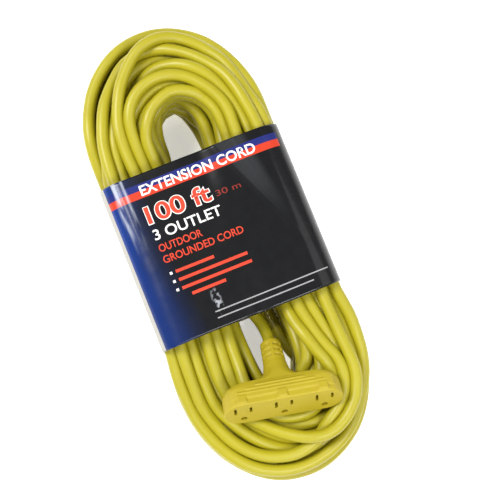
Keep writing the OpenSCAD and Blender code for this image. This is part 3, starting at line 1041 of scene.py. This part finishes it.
def stadium(half_w: np.ndarray, half_t: np.ndarray, count: int) -> np.ndarray:
    """Makes rings with a flat top and bottom and round ends, which are circles where the two sizes agree.

    Args:
        half_w: half widths, one for each ring.
        half_t: half thicknesses.
        count: points round a ring.
    Returns:
        x and z of each point, ring by ring.
    """
    t = half_t[:, None]
    flat = np.maximum(half_w - half_t, 0)[:, None]
    quarter = np.pi * t / 2
    s = (np.arange(count) + 0.5)[None] / count * (4 * flat + 4 * quarter)
    left, under, last = s - quarter - 2 * flat, s - 3 * quarter - 2 * flat, s - 3 * quarter - 4 * flat
    where = [s < quarter, s < quarter + 2 * flat, left < 2 * quarter, under < 2 * flat]
    angles = [s / t, s * 0 + np.pi / 2, np.pi / 2 + left / t, s * 0 - np.pi / 2]
    angle = np.select(where, angles, 1.5 * np.pi + last / t)
    across = np.select(where, [s * 0 + flat, flat - (s - quarter), s * 0 - flat, under - flat], s * 0 + flat)
    x, z = across + t * np.cos(angle), t * np.sin(angle)
    return np.stack([x, z], -1)


def round_step(value: np.ndarray, low: float, high: float, soft: float) -> np.ndarray:
    """Is 1 in a band and 0 outside it.

    Args:
        value: what is tested.
        low: where the band begins.
        high: where it ends.
        soft: how wide its eased edges are.
    Returns:
        The share.
    """
    return smooth((value - low) / soft) * smooth((high - value) / soft)


def rounded(depth: np.ndarray, radius: float) -> np.ndarray:
    """Gives how far a rounded edge falls back at each depth from the end, as on a quarter circle.

    Args:
        depth: distance from the end.
        radius: of the edge.
    Returns:
        Share of the radius, from 1 at the end to 0.
    """
    return 1 - np.sqrt(1 - np.clip(1 - depth / radius, 0, 1) ** 2)


def moulding(name: str, rings: np.ndarray, seat: Seat) -> bpy.types.Object:
    """Makes a closed skin from rings, with flat ends.

    Args:
        name: the piece's name.
        rings: its rings of points, in its own frame.
        seat: where it lies.
    Returns:
        The piece.
    """
    rows, cols = rings.shape[:2]
    obj = mesh_object(name, seat.place(rings.reshape(-1, 3)), grid_faces(rows, cols), Place.CORD)
    work = bmesh.new()
    work.from_mesh(obj.data)
    work.verts.ensure_lookup_table()
    work.faces.new([work.verts[k] for k in range(cols)][::-1])
    work.faces.new([work.verts[(rows - 1) * cols + k] for k in range(cols)])
    bmesh.ops.recalc_face_normals(work, faces=work.faces)
    work.to_mesh(obj.data)
    work.free()
    return obj


@dataclass
class Tap:
    """The triple tap's overmould, with its outlets, ledges and notched neck."""

    half_w: float = 49.25
    half_t: float = 14.25
    depth: float = 21.5
    neck_y: float = 42.0
    neck_end: float = NECK_END
    neck_r0: float = 9.8
    neck_r1: float = 8.8
    shoulder_r: float = 21.0
    back_r: float = 8.5
    pitch: float = 33.6
    blade_pitch: float = 12.7
    blade_z: float = 5.0
    ground_z: float = -6.9
    plateau_half: float = 44.0
    plateau_rise: float = 1.5
    tongue_half: float = 4.3
    tongue_rise: float = 2.1
    ledge_halves: tuple[float, ...] = (37, 29, 21)
    ledge_rise: float = 0.75
    ledge_pitch: float = 3.0
    notches: int = 3
    notch_pitch: float = 5.6
    notch_depth: float = 1.5

    def centres(self) -> tuple[float, float, float]:
        """Where the three outlets lie along the face."""
        return -self.pitch, 0.0, self.pitch

    def plan_half(self, y: np.ndarray) -> np.ndarray:
        """Works out the half width: the block, its back corner, the hollow shoulder and the neck.

        Args:
            y: distances behind the face.
        Returns:
            The half width at each.
        """
        corner_x, corner_y = self.half_w - self.back_r, self.depth - self.back_r
        shoulder_x = self.neck_r0 + self.shoulder_r
        ys = [0.0, corner_y]
        ws = [self.half_w, self.half_w]
        for a in np.linspace(8, 78, 9):
            ys.append(corner_y + self.back_r * math.sin(math.radians(a)))
            ws.append(corner_x + self.back_r * math.cos(math.radians(a)))
        for a in np.linspace(18, 90, 14):
            ys.append(self.neck_y - self.shoulder_r * math.cos(math.radians(a)))
            ws.append(shoulder_x - self.shoulder_r * math.sin(math.radians(a)))
        ys.append(self.neck_end)
        ws.append(self.neck_r1)
        return np.interp(y, ys, ws)

    def rings(self) -> np.ndarray:
        """Works out the overmould's skin.

        Returns:
            Its rings of points, in its own frame.
        """
        end = self.neck_end
        y = np.unique(np.r_[0, 0.15, 0.4, 0.8, np.arange(1.3, 20, 0.45), np.arange(20, 24, 0.18),
                            np.arange(24, end - 0.6, 0.45), end - 0.4, end - 0.1, end])
        w = self.plan_half(y)
        along_neck = np.clip((y - self.neck_y) / (self.neck_end - self.neck_y), 0, 1)
        neck = self.neck_r0 + (self.neck_r1 - self.neck_r0) * along_neck
        t = np.interp(y, [0, self.depth - 2, self.neck_y], [self.half_t, self.half_t, self.neck_r0])
        t = np.where(y > self.neck_y, neck, t)
        w = np.maximum(w, neck)
        back = 1.1 * rounded(y, 1.3) + rounded(self.neck_end - y, 1.0)
        section = stadium(w - back, t - back, 320)
        x, z = section[..., 0], section[..., 1]
        yy = np.broadcast_to(y[:, None], x.shape).copy()
        top = z > 0
        rise = np.zeros_like(z)
        inner = round_step(x, -self.plateau_half, self.plateau_half, 1.6)
        plateau = inner * smooth((yy - 5.4) / 0.7) * smooth((self.depth - yy) / 7)
        rise = np.maximum(rise, self.plateau_rise * plateau)
        for cx in self.centres():
            tongue = round_step(x, cx - self.tongue_half, cx + self.tongue_half, 0.6)
            rise = np.maximum(rise, self.tongue_rise * (tongue * round_step(yy, 1.0, 8.6, 0.6)))
        for k, half in enumerate(self.ledge_halves):
            at = 9.4 + self.ledge_pitch * k
            ledge = round_step(x, -half, half, 1.0) * smooth((yy - at) / 0.5) * smooth((at + 2.8 - yy) / 2.4)
            rise = rise + self.ledge_rise * ledge
        z = z + np.where(top, rise, 0)
        sink = np.zeros_like(z)
        for k in range(self.notches):
            y0 = self.neck_y + 3.6 + self.notch_pitch * k
            sink = np.maximum(sink, round_step(yy, y0, y0 + 2.7, 0.6))
        size = np.sqrt(x * x + z * z)
        upright = smooth((np.abs(z) / np.maximum(size, 1e-6) - 0.42) / 0.12) * smooth((np.abs(x) - 1.2) / 0.7)
        pull = 1 - self.notch_depth * sink * upright / np.maximum(size, 1)
        return np.stack([x * pull, yy, z * pull], -1)

    def cutters(self) -> bpy.types.Object:
        """Makes the three outlets' openings, to be cut from the face.

        Returns:
            One closed mesh.
        """
        work = bmesh.new()
        for cx in self.centres():
            for x, half in ((-self.blade_pitch / 2, 4.4), (self.blade_pitch / 2, 3.5)):
                at = Matrix.Translation(Vector((cx + x, 1.0, self.blade_z)))
                bmesh.ops.create_cube(work, size=1.0, matrix=at @ Matrix.Diagonal((2.2, 6.0, 2 * half, 1)))
            ring = [(cx + 2.7 * math.cos(a), self.ground_z + max(2.7 * math.sin(a), -2.2))
                    for a in np.linspace(0, 2 * np.pi, 28, endpoint=False)]
            near = [work.verts.new((x, -2.0, z)) for x, z in ring]
            far = [work.verts.new((x, 4.0, z)) for x, z in ring]
            work.faces.new(near)
            work.faces.new(far[::-1])
            for i in range(len(ring)):
                j = (i + 1) % len(ring)
                work.faces.new((near[j], near[i], far[i], far[j]))
        bmesh.ops.recalc_face_normals(work, faces=work.faces)
        turned = Matrix(TAP_SEAT.matrix().tolist()).to_4x4()
        turned.translation = Vector(TAP_SEAT.at)
        bmesh.ops.transform(work, matrix=Matrix.Scale(MM, 4) @ turned, verts=work.verts)
        mesh = bpy.data.meshes.new("outlet_cutters")
        work.to_mesh(mesh)
        work.free()
        return add_object("outlet_cutters", mesh)

    def build(self) -> bpy.types.Object:
        """Makes the overmould and cuts its outlets.

        Returns:
            The piece.
        """
        rings = self.rings()
        bore = rings[-1:] * [0.58, 1, 0.58]
        obj = moulding("tap_overmould", np.concatenate([rings, bore, bore - [0, 3, 0]]), TAP_SEAT)
        cutter = self.cutters()
        cut = obj.modifiers.new("outlets", "BOOLEAN")
        cut.operation, cut.object, cut.solver = "DIFFERENCE", cutter, "EXACT"
        deps = bpy.context.evaluated_depsgraph_get()
        done = bpy.data.meshes.new_from_object(obj.evaluated_get(deps))
        obj.modifiers.clear()
        obj.data = done
        bpy.data.objects.remove(cutter)
        done.materials.clear()
        done.materials.append(TAP_PVC.make())
        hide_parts("tap_body")
        return obj


@dataclass
class Plug:
    """The clear moulded plug: a ribbed strain relief that runs into a squarish body."""

    relief_l: float = 30.0
    face_y: float = 63.0
    half_w: float = 15.0
    half_t: float = 11.25
    rib_pitch: float = 4.4
    rib_rise: float = 1.2

    def build(self) -> bpy.types.Object:
        """Makes the clear overmould.

        Returns:
            The piece.
        """
        end = self.face_y
        y = np.unique(np.r_[np.arange(0, self.relief_l + 2, 0.35), np.arange(self.relief_l + 2, end - 1, 1.0),
                            end - 0.9, end - 0.5, end - 0.15, end])
        cone = 6.5 + 3.1 * y / self.relief_l
        wave = smooth(0.5 - 0.62 * np.cos(2 * np.pi * (y - 3.5) / self.rib_pitch))
        r = cone - 0.9 + self.rib_rise * (wave * round_step(y, 3.0, 26.5, 0.8))
        grow = smooth((y - 27) / 7)
        edge = 1.4 * rounded(self.face_y - y, 1.4)
        a = 2 * np.pi * np.arange(72) / 72
        power = 2 + 2.2 * grow[:, None]
        c, s = np.cos(a)[None], np.sin(a)[None]
        half_w = (r + (self.half_w - r) * grow - edge)[:, None]
        half_t = (r + (self.half_t - r) * grow - edge)[:, None]
        x = half_w * np.sign(c) * np.abs(c) ** (2 / power)
        z = half_t * np.sign(s) * np.abs(s) ** (2 / power)
        rings = np.stack([x, np.broadcast_to(y[:, None], x.shape), z], -1)
        obj = moulding("plug_overmould", rings, PLUG_SEAT)
        obj.data.materials.append(CLEAR_PVC.make())
        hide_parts("plug_body")
        return obj


def dress_inner_pieces() -> None:
    """Gives the CAD pieces inside the tap and the plug their finishes."""
    wearers = {
        HARD_PLASTIC: ("tap_contact_carrier", "tap_carrier_cover", "plug_blade_bridge"),
        BRASS: ("tap_line_contacts", "tap_ground_contacts", "plug_crimps"),
        NICKEL: ("tap_neutral_contacts", "plug_line_blade", "plug_neutral_blade", "plug_ground_pin"),
        COPPER: ("tap_copper_ends", "plug_copper_ends"),
        BLACK_WIRE: ("tap_line_wire", "plug_line_wire"),
        WHITE_WIRE: ("tap_neutral_wire", "plug_neutral_wire"),
        GREEN_WIRE: ("tap_ground_wire", "plug_ground_wire"),
    }
    for finish, names in wearers.items():
        made = finish.make()
        for name in names:
            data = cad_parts[name].data
            data.materials.clear()
            data.materials.append(made)
        log.info("%s: %s", finish.name, ", ".join(names))


# ---- card sleeve ----------------------------------------------------------------------------------


@dataclass
class Sleeve:
    """The printed card sleeve: a flattened tube of card with its print."""

    half_w: float = 81.3
    height: float = 82.9
    card: float = 0.5
    y0: float = -59.0
    y1: float = 86.0
    corner: float = 20.0

    # Two stripes, by their low and high edge; two rules, by theirs and their right end.
    STRIPES = ((72.4, 78.2, "20296E"), (66.0, 72.4, "CE3C24"))
    RULES = ((-45.0, -44.0, 74), (-50.5, -49.5, 58))

    def crown(self, x: np.ndarray, y: np.ndarray) -> np.ndarray:
        """Works out the top's height: it sags over the gap and is creased to the right of it.

        Args:
            x: where across the sleeve.
            y: where along it.
        Returns:
            How far the top stands above or below flat.
        """
        sag = -1.6 * np.exp(-(((x - 6.5) / 9.0) ** 2)) * smooth((np.abs(y - 13.5) / 72 - 0.1) * 1.2)
        swell = 0.35 + 0.35 * np.sin(x / 11.0 + 0.6) * np.cos(y / 37.0)
        line = x - 22 - (86 - y) * 0.42
        crease = 0.5 * np.exp(-((line / 2.2) ** 2)) * smooth((y + 45) / 60)
        second = x - 40 - (86 - y) * 0.2
        crease += 0.35 * np.exp(-((second / 2.0) ** 2)) * smooth((y - 10) / 50)
        flatness = smooth((self.half_w - self.corner + 6 - np.abs(x)) / 12)
        return (sag + swell + crease) * flatness

    def profile(self, inset: float, count: int) -> tuple[np.ndarray, np.ndarray, np.ndarray]:
        """Draws the sleeve's outline across the cord.

        Args:
            inset: how far inside the outer face.
            count: points round it.
        Returns:
            x, z and the distance round the outside from the middle of the top, to the right positive.
        """
        half_w, half_h, r = self.half_w, self.height / 2, self.corner
        flat_w, flat_h, arc = half_w - r, half_h - r, np.pi * r / 2
        u = np.linspace(-1, 1, count) * (2 * flat_w + 2 * flat_h + 2 * arc)
        s = np.abs(u)
        a = np.clip((s - flat_w) / r, 0, np.pi / 2)
        b = np.clip((s - flat_w - arc - 2 * flat_h) / r, 0, np.pi / 2)
        down = np.clip(s - flat_w - arc, 0, 2 * flat_h)
        back = np.clip(s - flat_w - 2 * arc - 2 * flat_h, 0, flat_w)
        rr = r - inset
        x = np.minimum(s, flat_w) + rr * np.sin(a) - rr * (1 - np.cos(b)) - back
        z = half_h + flat_h + rr * np.cos(a) - down - rr * np.sin(b)
        return np.sign(u) * x, z, u

    def build(self) -> bpy.types.Object:
        """Makes the card.

        Returns:
            The piece.
        """
        count, rows = 420, 74
        y = np.linspace(self.y0, self.y1, rows)
        shells, uvs = [], []
        for inset in (0.0, self.card):
            x, z, u = self.profile(inset, count)
            xx, yy = np.meshgrid(x, y)
            zz = z[None] + np.where(z > self.height / 2, self.crown(xx, yy), 0)
            edge = 0.35 * np.sin(u / 23.0) * np.clip(np.abs(yy - 13.5) / 72.5, 0, 1) ** 6 * np.sign(yy - 13.5)
            shells.append(np.stack([xx, yy + edge * (z[None] > 30), zz], -1))
            uvs.append(np.stack([np.broadcast_to(u[None] / 100, xx.shape), yy / 100], -1))
        outer, inner = shells
        size = count * rows
        points = np.vstack([outer.reshape(-1, 3), inner.reshape(-1, 3)])
        uv = np.vstack([uvs[0].reshape(-1, 2), uvs[1].reshape(-1, 2) + 20])
        wall = grid_faces(rows, count, wrap=False)
        i = np.arange(count - 1)
        rim = np.stack([i, i + 1, i + 1 + size, i + size], -1)
        j = np.arange(rows - 1) * count
        left = np.stack([j, j + count, j + count + size, j + size], -1)
        right = left[:, ::-1] + count - 1
        faces = np.vstack([wall, wall[:, ::-1] + size, rim[:, ::-1], rim + (rows - 1) * count, left, right])
        obj = mesh_object("printed_sleeve", points, faces, Place.SLEEVE, uv=uv)
        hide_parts("card_sleeve")
        obj.data.materials.append(self.material())
        return obj

    def artwork(self, x: Wire, y: Wire, where: Wire, small: Wire) -> Wire:
        """Draws the print: black with a blue side, two stripes and two rules.

        Args:
            x: across the sleeve, in millimetres.
            y: along it, in millimetres.
            where: the place, in metres.
            small: fine noise.
        Returns:
            The colour.
        """
        black, blue, deep = linear("0C0D0F"), linear("10388A"), linear("0B1838")
        reach = x + (small - 0.5) * 3.0 - y.step(30, -60) * 8.0
        side = 1.0 - reach.step(-66, -42)
        bright = (1.0 - reach.step(-86, -54)) * (y.step(-60, 60) * 0.55 + 0.45)
        colour = side.mix(black, bright.mix(deep, blue))
        faint = where.noise(45).step(0.45, 0.75) * 0.35
        colour = (faint * side).mix(colour, deep)
        for low, high, ink in self.STRIPES:
            colour = (y.band(low, high, 0.15) * (1.0 - x.step(76.5, 77.0))).mix(colour, linear(ink))
        for low, high, end in self.RULES:
            rule = y.band(low, high, 0.1) * x.band(-28, end, 0.2) * 0.6
            colour = rule.mix(colour, linear("C9C9C9"))
        return colour

    def paint_glare_and_scuff(self, colour: Wire, x: Wire, y: Wire, where: Wire) -> Wire:
        """Adds painted reflections, two pale streaks at the blue side and a grey wedge of glare, and a scuff.

        Args:
            colour: the print.
            x: across the sleeve, in millimetres.
            y: along it, in millimetres.
            where: the place, in metres.
        Returns:
            The colour.
        """
        tree = x.tree
        # Two pale streaks at the blue side are painted highlights: a light's reflection in the varnish,
        # painted into the colour.
        drawn_out = node(tree, "Mapping", None, Vector=where, Scale=(220, 30, 60)).outputs[0]
        streak_noise = Wire(tree, node(tree, "TexNoise", None, Vector=drawn_out, Scale=1.0, Detail=3.0).outputs[0])
        shine = x.maths("MAXIMUM", x.band(-71.5, -66.5, 2.2), x.band(-62, -60, 1.4))
        painted_streaks = streak_noise.step(0.35, 0.62) * shine * y.step(18, 66)
        colour = (painted_streaks * 0.75).mix(colour, linear("C9CFDA"))
        # The grey wedge right of the crease, kept off the stripes, is a painted reflection in the gloss.
        fall = 86.0 - y
        wedge = (x - fall * 0.42).step(21, 24) * (1.0 - (x - fall * 0.16).step(44, 52)) * y.step(0, 60) * 0.3
        stripes = y.band(self.STRIPES[1][0], self.STRIPES[0][1], 0.15)
        colour = (wedge * (1.0 - stripes)).mix(colour, linear("4A4D50"))
        off_x, off_y = (v.maths("POWER", (v + shift) / size, 2.0)
                        for v, shift, size in ((x, 23.0, 4.5), (y, 36.0, 13.0)))
        scuff = x.maths("SUBTRACT", 1.0, off_x + off_y, True) * where.noise(3.5).step(0.48, 0.6)
        return (scuff * 0.75).mix(colour, linear("B4B7BD"))

    def material(self) -> bpy.types.Material:
        """Makes the material of folded card with varnished print, whose back and inside are plain grey card.

        The print gives it deep colours and a broad gloss, and its dents break up the highlights.

        Returns:
            The new material.
        """
        made = bpy.data.materials.new("printed_card")
        made.use_nodes = True
        tree = made.node_tree
        coords = node(tree, "TexCoord")
        place = node(tree, "SeparateXYZ", None, i0=coords.outputs["UV"])
        x, y = (Wire(tree, place.outputs[k]) * 100.0 for k in (0, 1))
        where = Wire(tree, coords.outputs["Object"])
        small = where.noise(9, 4.0)
        colour = self.paint_glare_and_scuff(self.artwork(x, y, where, small), x, y, where)
        printed = x.step(-80.4, -80.0) * (1.0 - x.step(91.6, 92.0))
        colour = printed.mix(where.noise(0.9).mix(linear("B9B6AE"), linear("AFACA4")), colour)
        gloss = node(tree, "MapRange", None, Value=small, To_Min=0.2, To_Max=0.34).outputs["Result"]
        rough = node(tree, "Mix", {"data_type": "FLOAT"}, i0=printed, i2=0.75, i3=gloss).outputs[0]
        height = where.noise(26, 2.0) * 0.6 + small * 0.05
        bump = node(tree, "Bump", None, Height=height, Distance=0.0012, Strength=0.6).outputs[0]
        join(tree.nodes["Principled BSDF"], Base_Color=colour, Roughness=rough, Normal=bump,
             Specular_IOR_Level=0.25, Coat_Weight=0.2)
        return made


@dataclass
class Lettering:
    """One printed line or mark on the sleeve's top."""

    sleeve: Sleeve
    longest_edge: float = 4.0
    lift: float = 0.08
    top_lift: float = 0.16

    def lay(self, name: str, outline: bpy.types.Object, lift: float,
            ink: bpy.types.Material) -> bpy.types.Object:
        """Turns a text or curve into a thin mesh that follows the sleeve's top.

        Args:
            name: the piece's name.
            outline: the text or curve, in metres.
            lift: how far above the card, in millimetres.
            ink: its material.
        Returns:
            The new piece.
        """
        deps = bpy.context.evaluated_depsgraph_get()
        mesh = bpy.data.meshes.new_from_object(outline.evaluated_get(deps))
        mesh.transform(outline.matrix_world)
        bpy.data.objects.remove(outline)
        work = bmesh.new()
        work.from_mesh(mesh)
        long = [e for e in work.edges if e.calc_length() > self.longest_edge * MM]
        bmesh.ops.subdivide_edges(work, edges=long, cuts=1)
        bmesh.ops.triangulate(work, faces=work.faces)
        for v in work.verts:
            x, y = v.co.x * 1000, v.co.y * 1000
            v.co.z = (self.sleeve.height + float(self.sleeve.crown(np.float64(x), np.float64(y))) + lift) * MM
        work.to_mesh(mesh)
        work.free()
        mesh.materials.clear()
        mesh.materials.append(ink)
        mesh.name = name
        obj = add_object(name, mesh)
        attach(obj, Place.SLEEVE.value)
        log.info("%s: %d points", name, len(mesh.vertices))
        return obj

    def words(self, name: str, text: str, x: float, y: float, width: float, cap: float,
              ink: bpy.types.Material, bold: float = 0.0, lift: float | None = None) -> bpy.types.Object:
        """Prints one line of generic words, fitted to a width and a letter height.

        Args:
            name: the piece's name.
            text: the words.
            x: its left end, in millimetres.
            y: its foot.
            width: how long it is.
            cap: how high its letters are.
            ink: its material.
            bold: how far the strokes are widened, as a share of the letter size.
            lift: how far above the card, if not as usual.
        Returns:
            The new piece.
        """
        curve = bpy.data.curves.new(name, "FONT")
        curve.body, curve.size = text, 1.0
        curve.offset = bold
        obj = add_object(name, curve)
        bpy.context.view_layer.update()
        size = obj.dimensions
        obj.scale = (width * MM / size.x, cap * MM / size.y, 1)
        bpy.context.view_layer.update()
        low = min(c[0] for c in obj.bound_box), min(c[1] for c in obj.bound_box)
        obj.location = (x * MM - low[0] * obj.scale[0], y * MM - low[1] * obj.scale[1], 0)
        bpy.context.view_layer.update()
        return self.lay(name, obj, self.lift if lift is None else lift, ink)

    def bar(self, name: str, x0: float, x1: float, y: float, thick: float,
            ink: bpy.types.Material) -> bpy.types.Object:
        """Prints a plain bar where the real card has small lettering.

        Args:
            name: the piece's name.
            x0: its left end, in millimetres.
            x1: its right end.
            y: its middle.
            thick: how high it is.
            ink: its material.
        Returns:
            The new piece.
        """
        mesh = bpy.data.meshes.new(name)
        xs = np.linspace(x0, x1, 12)
        points = [(x * MM, (y + s * thick / 2) * MM, 0) for x in xs for s in (-1, 1)]
        mesh.from_pydata(points, [], [(2 * i, 2 * i + 2, 2 * i + 3, 2 * i + 1) for i in range(11)])
        return self.lay(name, add_object(name, mesh), self.lift, ink)

    def print_all(self) -> None:
        """Prints the whole card."""
        white, red, dark = WHITE_INK.make(), RED_INK.make(), DARK_RED_INK.make()
        self.words("print_title", "EXTENSION CORD", -49, 67.4, 103, 9, white, 0.02)
        self.words("print_length_edge", "100 ft", -52.6, 42.2, 58.4, 16.4, white, 0.05)
        self.words("print_length", "100 ft", -52, 43, 57, 15, red, 0.022, self.top_lift)
        self.words("print_metric", "30 m", 9, 44.5, 22, 5, dark)
        self.words("print_outlets", "3 OUTLET", -52, 28.6, 60, 9, white, 0.012)
        self.words("print_outdoor", "OUTDOOR", -52, 18, 38, 6.5, red, 0.012)
        self.words("print_grounded", "GROUNDED CORD", -52, 8, 71, 6.5, red, 0.012)
        for k, (x1, y) in enumerate(((-12, -1.2), (15, -8.6), (16, -16.0))):
            self.bar(f"print_bullet_{k}", -51.2, -49, y, 2.2, white)
            self.bar(f"print_line_{k}", -46, x1, y, 2.6, red)
        self.bar("print_line_3", -40, -10, -23, 2.6, red)


# ---- studio ---------------------------------------------------------------------------------------


@dataclass
class Studio:
    """The camera, the light and the floor."""

    look_at: tuple[float, float, float] = (0.0212, -0.0044, 0.04)
    offset: tuple[float, float, float] = (-0.08, -0.07, 1.0)
    distance: float = 0.875
    roll: float = 22.0
    view_half: float = 14.04
    sky: float = 0.42
    floor_glow: float = 0.45
    floor_half: float = 4.0

    # Each light's name, place, width in metres and power in watts.
    LIGHTS = (("key", (-0.75, 0.75, 1.5), 0.8, 30.0), ("fill", (1.1, -0.5, 1.3), 1.4, 9.0),
              ("front", (-0.3, -1.3, 0.9), 1.2, 6.0), ("low_end", (0.1, -0.6, 1.1), 0.3, 5.0))

    def build(self) -> None:
        """Makes them all."""
        scene = bpy.context.scene
        scene.view_settings.view_transform = "Standard"
        data = bpy.data.cameras.new("camera")
        cam = add_object("camera", data)
        scene.camera = cam
        back = Vector(self.offset).normalized()
        roll = math.radians(self.roll)
        right = Vector((math.sin(roll), math.cos(roll), 0)).cross(back).normalized()
        cam.location = Vector(self.look_at) + back * self.distance
        cam.rotation_mode = "QUATERNION"
        cam.rotation_quaternion = Matrix((right, back.cross(right), back)).transposed().to_quaternion()
        data.lens = data.sensor_width / 2 / math.tan(math.radians(self.view_half))
        data.clip_start, data.clip_end = 0.01, 50
        for name, place, size, power in self.LIGHTS:
            light = bpy.data.lights.new(name, "AREA")
            light.energy, light.size = power, size
            lamp = add_object(name, light)
            lamp.location = place
            lamp.rotation_mode = "QUATERNION"
            lamp.rotation_quaternion = (Vector(place) - Vector((0, 0, 0.04))).to_track_quat("Z", "Y")
        world = bpy.data.worlds.new("world")
        scene.world = world
        world.use_nodes = True
        join(world.node_tree.nodes["Background"], Color=linear("FFFFFF"), Strength=self.sky)
        mesh = bpy.data.meshes.new("floor")
        h = self.floor_half
        mesh.from_pydata([(-h, -h, 0), (h, -h, 0), (h, h, 0), (-h, h, 0)], [], [(0, 1, 2, 3)])
        floor = add_object("floor", mesh)
        lit = FLOOR.make()
        shader = lit.node_tree.nodes["Principled BSDF"]
        join(shader, Emission_Color=linear("FFFFFF"), Emission_Strength=self.floor_glow)
        mesh.materials.append(lit)


def main() -> None:
    """Builds everything."""
    Studio().build()
    winding = Winding()
    rounds = ROUNDS
    cord, line = Cord().build(winding.settle(rounds), winding.diameter)
    Tap().build()
    plug = Plug().build()
    dress_inner_pieces()
    sleeve = Sleeve()
    sleeve.build()
    Lettering(sleeve).print_all()


if __name__ == "__main__":
    main()
